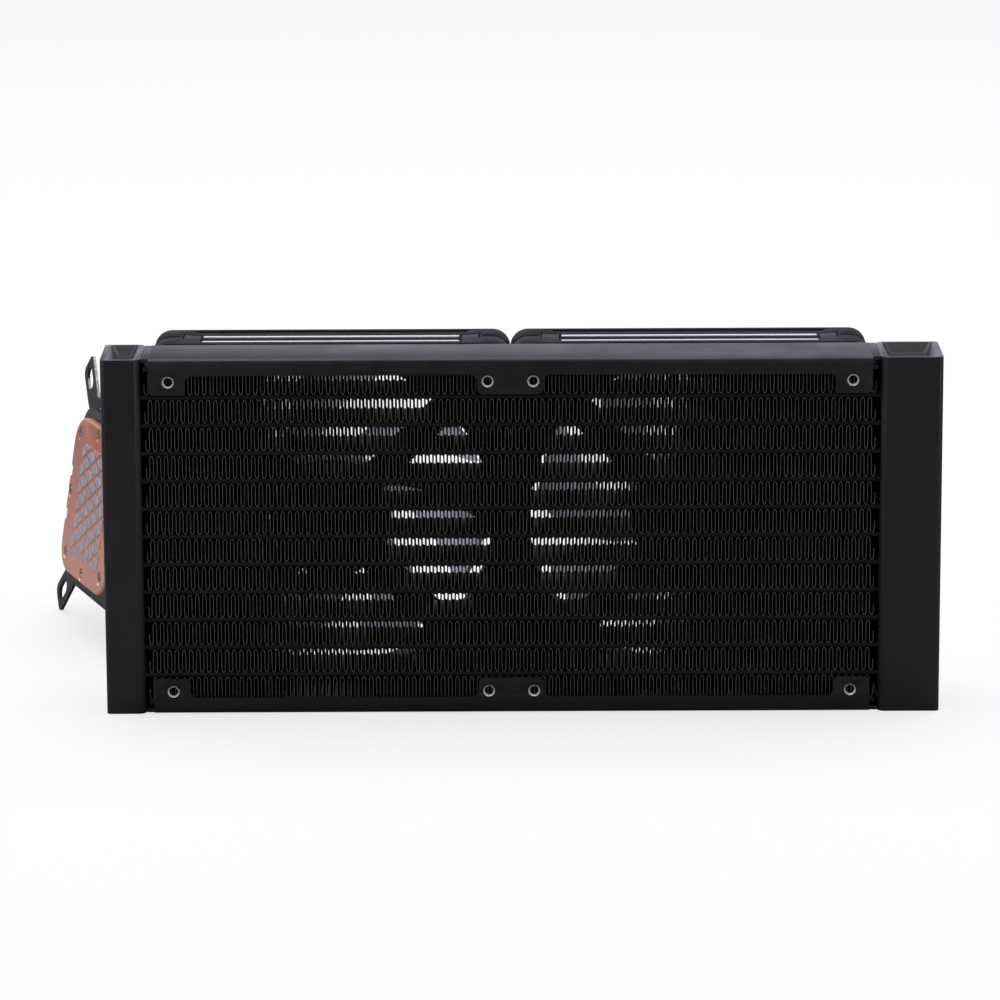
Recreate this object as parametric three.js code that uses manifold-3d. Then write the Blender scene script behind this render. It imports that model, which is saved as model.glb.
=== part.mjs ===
// Closed-loop liquid cooler: a 240 mm class radiator standing on its long edge,
// two 120 mm fans screwed to its back, and the pump and cold-plate head lying
// on its side behind the left tank.
//
// Frame, in millimetres: X along the radiator, Y through its depth (the core
// face is towards -Y, the fans towards +Y), Z up. The origin is in the middle of
// the bottom rail, half way between the two fans, on the surface it stands on.

import * as THREE from 'three';
import { mergeVertices } from 'three/addons/utils/BufferGeometryUtils.js';
import Module from 'manifold-3d';

const wasm = await Module();
wasm.setup();

// ---------------------------------------------------------------- dimensions
const GAP = 0.3;                 // clearance between touching pieces

const RAD_H = 120;               // height on the long edge
const RAD_D = 27;                // depth of tanks and rails
const CORE_X = 121.6;            // inner face of both tanks
const TANK_L_X = 134.8;          // outer face of the plain tank (negative side)
const TANK_R_X = 142.2;          // outer face of the ported tank
const TANK_WALL = 1.6;
const TANK_EDGE_R = 1.5;
const POCKET_DEPTH = 3;          // recess in each tank end

const TUBES = 11;                // flat coolant tubes
const TUBE_PITCH = 9.42;
const TUBE_T = 1.5;
const TUBE_D = 21;
const TUBE_END_X = 125;
const FIN_ROWS = 12;
const FIN_WAVES = 20;
const FIN_D = 21.6;
const FIN_END_X = 119.4;

const SHEET = 1.2;               // rail sheet thickness
const FLANGE_X = 119;            // end of the rail flanges
const FLANGE_H = 5.4;              // plain flange height
const TAB_H = 11.9;              // height of the screw tabs
const TAB_W = 12.2;              // width of the end tabs
const MID_TAB_X = 10.9;          // half width of the middle tab
const HOLE_R = 1.55;

const FAN = 120;                 // fan frame side
const FAN_Y0 = RAD_D / 2 + GAP;  // fan face against the rail flanges
const FAN_T = 25;
const FAN_CX = 60;               // fan axes at x = -60 and +60, z = 60
const FAN_CZ = 60;
const FAN_HOLE = 52.5;           // screw holes from the fan axis (105 mm square)
const FAN_BORE_R = 54.2;
const FAN_CORNER_R = 6;
const FAN_HOLE_R = 2.2;
const FAN_FLANGE = 4;
const HUB_R = 19.5;
const BLADE_TIP_R = 51.3;
const BLADES = 7;
const BLADE_PHASE = { left: 0.297, right: 0.769 };   // rest angle of each rotor, rad
const STRUT_W = 9.6;

const PORT_X = 131;              // hose ports on the back of the ported tank
const PORT_Z = [38, 82];

// pump and cold-plate head: centre of the cold-plate face and its attitude
const HEAD = new THREE.Vector3(-147.88, 90.45, 47.31);
const HEAD_YAW = 20.49, HEAD_PITCH = 8.82, HEAD_ROLL = -0.17;   // degrees
const PLATE_U = 27.8, PLATE_V = 28.6, PLATE_T = 3, PLATE_R = 10.5;
const PASTE = [-15.6, -19.6, 18.2, 19.6];   // thermal paste patch
const SLOT = 38.75;              // mounting slots on a 77.5 mm square
const BRACKET_W = -6.35, BRACKET_T = 1;     // front face and thickness of the bracket
const NECK_H = 30.8;             // half side of the square neck through the bracket
const BODY_R = 39;               // pump housing and cover
const NECK_R = 33;
const HEAD_L = 52.6;             // cold-plate face to cover face
const ELBOW_V = 13, ELBOW_W = -24;

// ------------------------------------------------------------------- helpers
const black = { color: 0x1d1e21, roughness: 0.55, metalness: 0.3 };
const M = (o) => new THREE.MeshStandardMaterial(o);

function solid(geometry, matrix) {
  const flat = geometry.index ? geometry.toNonIndexed() : geometry;
  const only = new THREE.BufferGeometry().setAttribute('position', flat.getAttribute('position').clone());
  if (matrix) only.applyMatrix4(matrix);
  const m = mergeVertices(only, 1e-3);
  const p = m.attributes.position.array;
  const tri = [];
  let vol = 0;
  for (let i = 0; i < m.index.count; i += 3) {
    const [a, b, c] = [m.index.array[i], m.index.array[i + 1], m.index.array[i + 2]];
    if (a === b || b === c || a === c) continue;
    tri.push(a, b, c);
    const [ax, ay, az, bx, by, bz, cx, cy, cz] = [a, b, c].flatMap((k) => [p[3 * k], p[3 * k + 1], p[3 * k + 2]]);
    vol += ax * (by * cz - bz * cy) - ay * (bx * cz - bz * cx) + az * (bx * cy - by * cx);
  }
  if (vol < 0) for (let i = 0; i < tri.length; i += 3) [tri[i + 1], tri[i + 2]] = [tri[i + 2], tri[i + 1]];
  return new wasm.Manifold(new wasm.Mesh({
    numProp: 3, vertProperties: new Float32Array(p), triVerts: new Uint32Array(tri),
  }));
}

function geometryOf(s) {
  const mesh = s.getMesh();
  const n = mesh.numProp;
  const pos = new Float32Array(mesh.triVerts.length * 3);
  mesh.triVerts.forEach((v, i) => {
    for (let k = 0; k < 3; k++) pos[3 * i + k] = mesh.vertProperties[v * n + k];
  });
  const g = new THREE.BufferGeometry().setAttribute('position', new THREE.BufferAttribute(pos, 3));
  g.computeVertexNormals();
  return g;
}

const union = (...list) => list.reduce((a, b) => a.add(b));
const cut = (base, ...list) => list.reduce((a, b) => a.subtract(b), base);

function shapeOf(points, holes = []) {
  const s = new THREE.Shape(points.map(([a, b]) => new THREE.Vector2(a, b)));
  for (const h of holes) s.holes.push(new THREE.Path(h.map(([a, b]) => new THREE.Vector2(a, b))));
  return s;
}

function circle(cx, cy, r, n, phase = 0) {
  return Array.from({ length: n }, (_, i) => {
    const t = phase + (2 * Math.PI * i) / n;
    return [cx + r * Math.cos(t), cy + r * Math.sin(t)];
  });
}

// closed outline with every corner rounded; corners are [x, y, radius]
function rounded(corners, seg = 3) {
  const out = [];
  const n = corners.length;
  for (let i = 0; i < n; i++) {
    const [x, y, r] = corners[i];
    const p = new THREE.Vector2(x, y);
    const a = new THREE.Vector2(corners[(i + n - 1) % n][0], corners[(i + n - 1) % n][1]).sub(p).normalize();
    const b = new THREE.Vector2(corners[(i + 1) % n][0], corners[(i + 1) % n][1]).sub(p).normalize();
    if (!r) { out.push([x, y]); continue; }
    const half = Math.acos(THREE.MathUtils.clamp(a.dot(b), -1, 1)) / 2;
    const t = r / Math.tan(half);
    const c = a.clone().add(b).normalize().multiplyScalar(r / Math.sin(half)).add(p);
    const s = p.clone().add(a.multiplyScalar(t)), e = p.clone().add(b.multiplyScalar(t));
    let a0 = Math.atan2(s.y - c.y, s.x - c.x), a1 = Math.atan2(e.y - c.y, e.x - c.x);
    while (a1 - a0 > Math.PI) a1 -= 2 * Math.PI;
    while (a1 - a0 < -Math.PI) a1 += 2 * Math.PI;
    for (let k = 0; k <= seg; k++) {
      const q = a0 + ((a1 - a0) * k) / seg;
      out.push([c.x + r * Math.cos(q), c.y + r * Math.sin(q)]);
    }
  }
  return out;
}

const rect = (x0, y0, x1, y1, r = 0, seg = 3) => rounded([[x0, y0, r], [x1, y0, r], [x1, y1, r], [x0, y1, r]], seg);

const extrude = (shape, depth) => new THREE.ExtrudeGeometry(shape, { depth, bevelEnabled: false, steps: 1 });
const basis = (x, y, z, t = [0, 0, 0]) => new THREE.Matrix4()
  .makeBasis(new THREE.Vector3(...x), new THREE.Vector3(...y), new THREE.Vector3(...z)).setPosition(...t);

// outline in (x, z) extruded from y0 to y1
const prismY = (points, y0, y1, holes) => solid(extrude(shapeOf(points, holes), y1 - y0), basis([1, 0, 0], [0, 0, 1], [0, -1, 0], [0, y1, 0]));
// outline in (y, z) extruded from x0 to x1
const prismX = (points, x0, x1, holes) => solid(extrude(shapeOf(points, holes), x1 - x0), basis([0, 1, 0], [0, 0, 1], [1, 0, 0], [x0, 0, 0]));
// outline in (x, y) extruded from z0 to z1
const prismZ = (points, z0, z1, holes) => solid(extrude(shapeOf(points, holes), z1 - z0), basis([1, 0, 0], [0, 1, 0], [0, 0, 1], [0, 0, z0]));

// profile of [radius, height] turned about an axis through `at`
function turned(profile, axis, at, seg) {
  const g = new THREE.LatheGeometry(profile.map(([r, h]) => new THREE.Vector2(r, h)), seg);
  const q = new THREE.Quaternion().setFromUnitVectors(new THREE.Vector3(0, 1, 0), new THREE.Vector3(...axis));
  return solid(g, new THREE.Matrix4().compose(new THREE.Vector3(...at), q, new THREE.Vector3(1, 1, 1)));
}
const rod = (r, h0, h1, axis, at, seg = 20) => turned([[0, h0], [r, h0], [r, h1], [0, h1]], axis, at, seg);
const pipe = (r0, r1, h0, h1, axis, at, seg = 20) => turned([[r0, h0], [r1, h0], [r1, h1], [r0, h1], [r0, h0]], axis, at, seg);

const part = new THREE.Group();
function put(parent, name, s, material) {
  const mesh = new THREE.Mesh(geometryOf(s), M(material));
  mesh.name = name;
  parent.add(mesh);
  return mesh;
}

// ---------------------------------------------------------- radiator: core
const pad = (i) => String(i).padStart(2, '0');
const tubeZ = (i) => RAD_H / 2 + (i - (TUBES - 1) / 2) * TUBE_PITCH;

function flatSection(depth, thick, seg) {
  const r = thick / 2, c = depth / 2 - r, out = [];
  for (let k = 0; k <= seg; k++) { const t = -Math.PI / 2 + (Math.PI * k) / seg; out.push([c + r * Math.cos(t), r * Math.sin(t)]); }
  for (let k = 0; k <= seg; k++) { const t = Math.PI / 2 + (Math.PI * k) / seg; out.push([-c + r * Math.cos(t), r * Math.sin(t)]); }
  return out;
}
const lift = (pts, dy, dz) => pts.map(([a, b]) => [a + dy, b + dz]);

for (let i = 0; i < TUBES; i++) {
  const z = tubeZ(i);
  put(part, `flat_tube_${pad(i + 1)}`,
    prismX(lift(flatSection(TUBE_D, TUBE_T, 4), 0, z), -TUBE_END_X, TUBE_END_X, [lift(flatSection(TUBE_D - 0.7, TUBE_T - 0.6, 3), 0, z)]),
    { color: 0x26241f, roughness: 0.6, metalness: 0.4 });
}

// corrugated fin strips: a folded sheet that runs the width of the core
const finHalf = (TUBE_PITCH - TUBE_T) / 2 - GAP;
for (let k = 0; k < FIN_ROWS; k++) {
  const zc = RAD_H / 2 + (k - (FIN_ROWS - 1) / 2) * TUBE_PITCH;
  const d = 0.25, amp = finHalf - d, n = FIN_WAVES * 2;
  const top = [], bottom = [];
  for (let i = 0; i <= n; i++) {
    const x = -FIN_END_X + (2 * FIN_END_X * i) / n;
    const z = zc + (i % 2 ? amp : -amp);
    bottom.push([x, z - d]);
    top.unshift([x, z + d]);
  }
  put(part, `fin_row_${pad(k + 1)}`, prismY(bottom.concat(top), -FIN_D / 2, FIN_D / 2),
    { color: 0x2a2823, roughness: 0.55, metalness: 0.4 });
}

// thin plates that close the core above the first and below the last fin row
const plateZ = RAD_H / 2 + (FIN_ROWS / 2) * TUBE_PITCH - TUBE_T / 2 + 0.1;
put(part, 'core_plate_top', prismX(rect(-11.5, plateZ, 11.5, plateZ + 1.2), -120.8, 120.8), black);
put(part, 'core_plate_bottom', prismX(rect(-11.5, RAD_H - plateZ - 1.2, 11.5, RAD_H - plateZ), -120.8, 120.8), black);

// ---------------------------------------------------------- radiator: tanks
function tank(side, inner, outer) {
  const x0 = Math.min(side * inner, side * outer), x1 = Math.max(side * inner, side * outer);
  const h = RAD_D / 2;
  let s = prismZ(rect(x0, -h, x1, h, TANK_EDGE_R, 3), 0, RAD_H);
  // water space, open towards the core
  const cx0 = side > 0 ? x0 - 1 : x0 + TANK_WALL, cx1 = side > 0 ? x1 - TANK_WALL : x1 + 1;
  const zc = POCKET_DEPTH + TANK_WALL;
  s = cut(s, prismZ(rect(cx0, -h + TANK_WALL, cx1, h - TANK_WALL), zc, RAD_H - zc));
  // tapered pocket in each end
  const px0 = x0 + 2, px1 = x1 - 2, taper = 2.1;
  for (const [za, zb] of [[RAD_H + 0.01, RAD_H - POCKET_DEPTH], [-0.01, POCKET_DEPTH]]) {
    const top = rect(px0, -h + 1.2, px1, h - 1.2), low = rect(px0 + taper, -h + 3.4, px1 - taper, h - 3.4);
    const v = [...top.map(([a, b]) => [a, b, za]), ...low.map(([a, b]) => [a, b, zb])];
    const f = [[0, 1, 2], [0, 2, 3], [4, 6, 5], [4, 7, 6]];
    for (let i = 0; i < 4; i++) { const j = (i + 1) % 4; f.push([i, i + 4, j], [j, i + 4, j + 4]); }
    const g = new THREE.BufferGeometry();
    g.setAttribute('position', new THREE.Float32BufferAttribute(f.flat().flatMap((k) => v[k]), 3));
    s = cut(s, solid(g));
  }
  return s;
}
put(part, 'tank_left', tank(-1, CORE_X, TANK_L_X), black);
put(part, 'tank_right', cut(tank(1, CORE_X, TANK_R_X),
  ...PORT_Z.map((z) => rod(4.2, RAD_D / 2 - 3, RAD_D / 2 + 1, [0, 1, 0], [PORT_X, 0, z], 16))), black);

for (const side of [-1, 1]) {
  const xa = side > 0 ? CORE_X + 0.2 : -CORE_X - 1.6, h = RAD_D / 2 - TANK_WALL - GAP;
  const zc = POCKET_DEPTH + TANK_WALL + GAP;
  const slots = Array.from({ length: TUBES }, (_, i) => lift(flatSection(TUBE_D + 2 * GAP, TUBE_T + 2 * GAP, 3), 0, tubeZ(i)));
  put(part, side < 0 ? 'header_left' : 'header_right',
    prismX(rect(-h, zc, h, RAD_H - zc), xa, xa + 1.4, slots), { color: 0x232326, roughness: 0.6, metalness: 0.5 });
}

// barbed hose ports on the back of the ported tank
function barb(y0, y1) {
  return [[3.4, y0], [7.5, y0], [7.5, y0 + 3], [5.2, y0 + 3.6], [5.2, y1 - 13.6], [6.5, y1 - 12], [5.4, y1 - 8],
    [6.5, y1 - 6.5], [5.2, y1], [3.4, y1], [3.4, y0]];
}
PORT_Z.forEach((z, i) => put(part, i ? 'port_upper' : 'port_lower',
  turned(barb(RAD_D / 2 + GAP, RAD_D / 2 + 20), [0, 1, 0], [PORT_X, 0, z], 16), { color: 0x17171a, roughness: 0.45, metalness: 0.1 }));

// ---------------------------------------------------------- radiator: rails
// folded sheet channel: web, front and back flanges, screw tabs with holes
function rail(mirror) {
  const h = RAD_D / 2, z1 = RAD_H, r = 1.5;
  const arc = (cy, cz, rr, a0, a1, n) => Array.from({ length: n + 1 }, (_, k) => {
    const t = a0 + ((a1 - a0) * k) / n; return [cy + rr * Math.cos(t), cz + rr * Math.sin(t)];
  });
  const zl = z1 - FLANGE_H;
  const section = [
    [-h, zl], ...arc(-h + r, z1 - r, r, Math.PI, Math.PI / 2, 3), ...arc(h - r, z1 - r, r, Math.PI / 2, 0, 3), [h, zl],
    [h - SHEET, zl], [h - SHEET, z1 - r], [h - r, z1 - SHEET], [-h + r, z1 - SHEET], [-h + SHEET, z1 - r], [-h + SHEET, zl],
  ].reverse();
  let s = prismX(section, -FLANGE_X, FLANGE_X);
  const endX = CORE_X - GAP;
  s = union(s, prismX(rect(-h + 2, z1 - SHEET, h - 2, z1), -endX, -FLANGE_X + 1), prismX(rect(-h + 2, z1 - SHEET, h - 2, z1), FLANGE_X - 1, endX));
  const zt = z1 - TAB_H, zo = zl + 1.5, tx = FLANGE_X - TAB_W, f = 2;
  const outlines = [
    [[-FLANGE_X, zo, 0], [-FLANGE_X, zt, 1.6], [-tx, zt, f], [-tx, zl, f], [-tx + 4.6, zl, 0], [-tx + 4.6, zo, 0]],
    [[-MID_TAB_X - 4.6, zo, 0], [-MID_TAB_X - 4.6, zl, 0], [-MID_TAB_X, zl, f], [-MID_TAB_X, zt, f], [MID_TAB_X, zt, f], [MID_TAB_X, zl, f], [MID_TAB_X + 4.6, zl, 0], [MID_TAB_X + 4.6, zo, 0]],
    [[tx - 4.6, zo, 0], [tx - 4.6, zl, 0], [tx, zl, f], [tx, zt, f], [FLANGE_X, zt, 1.6], [FLANGE_X, zo, 0]],
  ];
  for (const [ya, yb] of [[-h, -h + SHEET], [h - SHEET, h]]) {
    for (const o of outlines) s = s.add(prismY(rounded(o, 3), ya, yb));
  }
  const holes = [-112.5, -7.5, 7.5, 112.5].flatMap((x) => [-1, 1].map((q) => rod(HOLE_R, q * h - 2.2, q * h + 2.2, [0, 1, 0], [x, 0, z1 - 7.5], 12)));
  s = cut(s, ...holes);
  if (mirror) {
    const g = geometryOf(s).applyMatrix4(new THREE.Matrix4().makeScale(1, 1, -1));
    g.translate(0, 0, RAD_H);
    s = solid(g);
  }
  return s;
}
put(part, 'top_rail', rail(false), black);
put(part, 'bottom_rail', rail(true), black);

// ---------------------------------------------------------------------- fans
function fanFrame(cx) {
  const y0 = FAN_Y0, y1 = FAN_Y0 + FAN_T, w = FAN / 2 - 0.1, cz = FAN_CZ;
  const outer = rect(cx - w, cz - w, cx + w, cz + w, FAN_CORNER_R, 4);
  const corners = [[-1, -1], [-1, 1], [1, -1], [1, 1]];
  const flange = (a, b) => prismY(outer, a, b);
  let s = union(flange(y0, y0 + FAN_FLANGE), flange(y1 - FAN_FLANGE, y1));
  // duct wall between the two flanges and the four corner posts
  s = s.add(prismY(circle(cx, cz, FAN_BORE_R + 2, 40), y0 + 1, y1 - 1).intersect(prismY(rect(cx - w, cz - w, cx + w, cz + w), y0, y1)));
  for (const [a, b] of corners) {
    const post = [[59.9, 36], [59.9, 59.9], [36, 59.9], [33, 55.5], [55.5, 33]].map(([p, q]) => [cx + a * (p - 0.7), cz + b * (q - 0.7)]);
    s = s.add(prismY(a * b > 0 ? post : post.reverse(), y0 + 1, y1 - 1).intersect(prismY(rect(cx - w + 0.6, cz - w + 0.6, cx + w - 0.6, cz + w - 0.6, FAN_CORNER_R, 3), y0, y1)));
  }
  s = cut(s, prismY(circle(cx, cz, FAN_BORE_R, 40), y0 - 1, y1 + 1),
    ...corners.map(([a, b]) => prismY(circle(cx + a * FAN_HOLE, cz + b * FAN_HOLE, FAN_HOLE_R, 10), y0 - 1, y1 + 1)));
  // motor base, bearing tube and four struts on the side next to the core
  s = s.add(rod(20, y0 + 0.4, y0 + 2.6, [0, 1, 0], [cx, 0, cz], 28));
  for (let k = 0; k < 4; k++) {
    const t = Math.PI / 4 + (k * Math.PI) / 2;
    const bar = rect(15, -STRUT_W / 2, 56, STRUT_W / 2).map(([a, b]) => [cx + a * Math.cos(t) - b * Math.sin(t), cz + a * Math.sin(t) + b * Math.cos(t)]);
    s = s.add(prismY(bar, y0 + 0.4, y0 + 3.2));
  }
  // bent strut that carries the motor leads to the side
  s = s.add(prismY([[14, 12.5], [23.9, 12.1], [33.6, 9.7], [41.5, 6.4], [47.7, 2.3], [55.5, -4.5], [55.5, 14], [47.7, 15.5], [36, 17.2], [26, 18.3], [14, 17]].map(([a, b]) => [cx + a, cz + b]), y0 + 0.5, y0 + 3.1));
  s = s.add(pipe(1.9, 5, y0 + 1, y0 + 19.6, [0, 1, 0], [cx, 0, cz], 16));
  return cut(s, rod(1.9, y0 - 1, y0 + 21, [0, 1, 0], [cx, 0, cz], 16));
}

// one swept blade: pitch and chord change from root to tip
function blade(cx, phase) {
  const rs = [18.6, 26, 34, 43, BLADE_TIP_R], nc = 4;
  const yc = FAN_Y0 + 15.68;
  const grid = [];
  rs.forEach((r) => {
    const t = (r - HUB_R) / (BLADE_TIP_R - HUB_R);
    const span = THREE.MathUtils.lerp(0.381, 0.522, t) + 0.356 * t * (1 - t);   // angle covered, rad
    const rise = 13.53;                                     // height between edges
    const skew = -0.755 * t + 0.091 * t * t;
    const row = [];
    for (let i = 0; i <= nc; i++) {
      const c = i / nc - 0.5;
      const a = phase + skew + c * span;
      const y = yc - c * rise + 3.25 * (0.25 - c * c);
      const half = 0.45 + 0.5 * (1 - 4 * c * c) * (1 - 0.4 * t);
      row.push([r, a, y, half]);
    }
    grid.push(row);
  });
  const pt = ([r, a, y, h], s) => [cx + r * Math.cos(a), y + s * h, FAN_CZ + r * Math.sin(a)];
  const v = [], id = {};
  grid.forEach((row, i) => row.forEach((g, j) => [1, -1].forEach((s) => { id[`${i},${j},${s}`] = v.length; v.push(pt(g, s)); })));
  const f = [];
  const quad = (a, b, c, d) => f.push([a, b, c], [a, c, d]);
  const R = grid.length - 1;
  for (let i = 0; i < R; i++) for (let j = 0; j < nc; j++) {
    quad(id[`${i},${j},1`], id[`${i + 1},${j},1`], id[`${i + 1},${j + 1},1`], id[`${i},${j + 1},1`]);
    quad(id[`${i},${j},-1`], id[`${i},${j + 1},-1`], id[`${i + 1},${j + 1},-1`], id[`${i + 1},${j},-1`]);
  }
  for (let i = 0; i < R; i++) {
    quad(id[`${i},0,1`], id[`${i},0,-1`], id[`${i + 1},0,-1`], id[`${i + 1},0,1`]);
    quad(id[`${i},${nc},1`], id[`${i + 1},${nc},1`], id[`${i + 1},${nc},-1`], id[`${i},${nc},-1`]);
  }
  for (let j = 0; j < nc; j++) {
    quad(id[`0,${j},1`], id[`0,${j + 1},1`], id[`0,${j + 1},-1`], id[`0,${j},-1`]);
    quad(id[`${R},${j},1`], id[`${R},${j},-1`], id[`${R},${j + 1},-1`], id[`${R},${j + 1},1`]);
  }
  const g = new THREE.BufferGeometry();
  g.setAttribute('position', new THREE.Float32BufferAttribute(f.flat().flatMap((k) => v[k]), 3));
  return solid(g);
}

function rotor(cx, phase) {
  const y0 = FAN_Y0 + 5.2, y1 = FAN_Y0 + 22.8;
  // cup, open towards the motor base, with a rounded nose
  let s = turned([[17.6, y0], [HUB_R, y0], [HUB_R, y1 - 2], [HUB_R - 0.6, y1 - 0.6], [HUB_R - 2, y1], [0, y1], [0, y1 - 1.8], [17.6, y1 - 1.8], [17.6, y0]].slice(0, -1).concat([[17.6, y0]]),
    [0, 1, 0], [cx, 0, FAN_CZ], 28);
  for (let k = 0; k < BLADES; k++) s = s.add(blade(cx, (2 * Math.PI * k) / BLADES + phase));
  return s;
}

function toothed(r0, r1, neck, teeth, tip) {
  const out = [];
  for (let k = 0; k < teeth; k++) {
    const c = (2 * Math.PI * k) / teeth;
    for (const [r, a] of [[neck, -tip - 0.12], [r1, -tip], [r1, tip], [neck, tip + 0.12]]) out.push([r * Math.cos(c + a), r * Math.sin(c + a)]);
  }
  return [out, circle(0, 0, r0, 16).reverse()];
}

for (const [side, cx] of [['left', -FAN_CX], ['right', FAN_CX]]) {
  put(part, `fan_${side}_frame`, fanFrame(cx), { color: 0x33323a, roughness: 0.6, metalness: 0.0 });
  put(part, `fan_${side}_rotor`, rotor(cx, BLADE_PHASE[side]), { color: 0xa9a6b4, roughness: 0.5, metalness: 0.0 });
  put(part, `fan_${side}_shaft`, rod(1.5, FAN_Y0 + 4, FAN_Y0 + 20.7, [0, 1, 0], [cx, 0, FAN_CZ], 12), { color: 0xb9bcc0, roughness: 0.25, metalness: 1.0 });
  const [o, hole] = toothed(5.3, 16, 11.5, 6, 0.34);
  put(part, `fan_${side}_stator`, prismY(o.map(([a, b]) => [a + cx, b + FAN_CZ]), FAN_Y0 + 5, FAN_Y0 + 17, [hole.map(([a, b]) => [a + cx, b + FAN_CZ])]),
    { color: 0xa5673f, roughness: 0.4, metalness: 0.8 });
}

// long screws through each fan corner into the back flanges
let screwNo = 0;
for (const z of [7.5, 112.5]) for (const x of [-112.5, -7.5, 7.5, 112.5]) {
  screwNo += 1;
  const yh = FAN_Y0 + FAN_T + GAP;
  put(part, `fan_screw_${screwNo}`, turned([[0, 11.2], [1.25, 11.2], [1.25, 13.9], [1.5, 14.3], [1.5, yh], [3.3, yh], [3.3, yh + 1.2], [2.4, yh + 2], [0, yh + 2]],
    [0, 1, 0], [x, 0, z], 12), { color: 0x2b2b2e, roughness: 0.35, metalness: 0.9 });
}

// ----------------------------------------------------------------- pump head
// local frame: u across the cold plate, v up it, w out of it (w = 0 is its face)
const head = new THREE.Group();
{
  const d = THREE.MathUtils.degToRad;
  const m = new THREE.Matrix4().makeRotationZ(d(HEAD_YAW))
    .multiply(new THREE.Matrix4().makeRotationY(d(HEAD_PITCH)))
    .multiply(basis([0, -1, 0], [0, 0, 1], [-1, 0, 0]))
    .multiply(new THREE.Matrix4().makeRotationZ(d(HEAD_ROLL)));
  head.quaternion.setFromRotationMatrix(m);
  head.position.copy(HEAD);
}
part.add(head);
const W = [0, 0, 1], O = [0, 0, 0];
const plastic = { color: 0x1b1b1e, roughness: 0.5, metalness: 0.0 };

// cold plate with the fin block on its wet side
let plate = prismZ(rect(-PLATE_U, -PLATE_V, PLATE_U, PLATE_V, PLATE_R, 4), -PLATE_T, 0);
for (let i = -6; i <= 6; i++) plate = plate.add(prismZ(rect(-13, i * 2 - 0.45, 13, i * 2 + 0.45), -PLATE_T - 3, -PLATE_T + 0.5));
put(head, 'cold_plate', plate, { color: 0xb5786a, roughness: 0.35, metalness: 0.9 });
put(head, 'thermal_paste', prismZ(rect(...PASTE), GAP, GAP + 0.3), { color: 0x9c9dac, roughness: 0.6, metalness: 0.2 });

// bracket: a ring plate with four slotted ears
const bz = BRACKET_W;
let bracket = prismZ(rect(-36.5, -34.1, 36.5, 34.1, 3, 2), bz - BRACKET_T, bz);
for (const [a, b] of [[-1, -1], [-1, 1], [1, -1], [1, 1]]) {
  const ear = [[33, 26.4], [37.8, 30.4], [42.2, 34.5], [45.5, 38], [46.5, 39.8], [46, 41.2], [43.2, 44], [41, 46], [39.9, 46.5], [38, 46], [32.8, 40.1], [27.4, 34.7], [25.5, 32.6]].map(([p, q]) => [a * p, b * q]);
  bracket = bracket.add(prismZ(a * b > 0 ? ear : ear.reverse(), bz - BRACKET_T, bz));
}
bracket = cut(bracket, prismZ(rect(-NECK_H - GAP, -NECK_H - GAP, NECK_H + GAP, NECK_H + GAP, 9, 3), bz - 5, bz + 5));
for (const [a, b] of [[-1, -1], [-1, 1], [1, -1], [1, 1]]) {
  const t = Math.atan2(b, a), long = 2.1, r = 2.6;
  const slot = [];
  for (let k = 0; k <= 5; k++) { const q = -Math.PI / 2 + (Math.PI * k) / 5; slot.push([long + r * Math.cos(q), r * Math.sin(q)]); }
  for (let k = 0; k <= 5; k++) { const q = Math.PI / 2 + (Math.PI * k) / 5; slot.push([-long + r * Math.cos(q), r * Math.sin(q)]); }
  bracket = cut(bracket, prismZ(slot.map(([p, q]) => [a * SLOT + p * Math.cos(t) - q * Math.sin(t), b * SLOT + p * Math.sin(t) + q * Math.cos(t)]), bz - 5, bz + 5));
}
put(head, 'mounting_bracket', bracket, { color: 0x3f3d45, roughness: 0.5, metalness: 0.6 });

// housing: neck through the bracket, wet chamber, motor well, dry space behind
const nz = -PLATE_T - GAP, shoulder = bz - BRACKET_T - GAP, split = -44;
let housing = union(
  prismZ(rect(-NECK_H, -NECK_H, NECK_H, NECK_H, 9, 3), -15, nz),
  rod(NECK_R, -15, shoulder, W, O, 36),
  turned([[0, split], [BODY_R, split], [BODY_R, -16], [BODY_R - 2, -14], [0, -14]], W, O, 40),
  ...[-ELBOW_V, ELBOW_V].map((v) => rod(7.6, 30, 43.7, [-1, 0, 0], [0, v, ELBOW_W], 16)),
);
housing = cut(housing, rod(36.2, split - 1, -18, W, O, 40), rod(24, -14.5, 0, W, O, 28));
housing = union(housing, rod(10.6, -35.5, -17.5, W, O, 20));
housing = cut(housing, rod(9.1, -34, -14, W, O, 20),
  ...[-ELBOW_V, ELBOW_V].map((v) => rod(4.3, 38.6, 45, [-1, 0, 0], [0, v, ELBOW_W], 14)));
put(head, 'pump_housing', housing, plastic);

put(head, 'pump_cover', turned([[0, -HEAD_L], [BODY_R - 1.6, -HEAD_L], [BODY_R - 0.4, -HEAD_L + 0.5], [BODY_R, -HEAD_L + 1.6], [BODY_R, split - GAP], [36.4, split - GAP], [36.4, -HEAD_L + 2.6], [0, -HEAD_L + 2.6]],
  W, O, 48), plastic);

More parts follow.
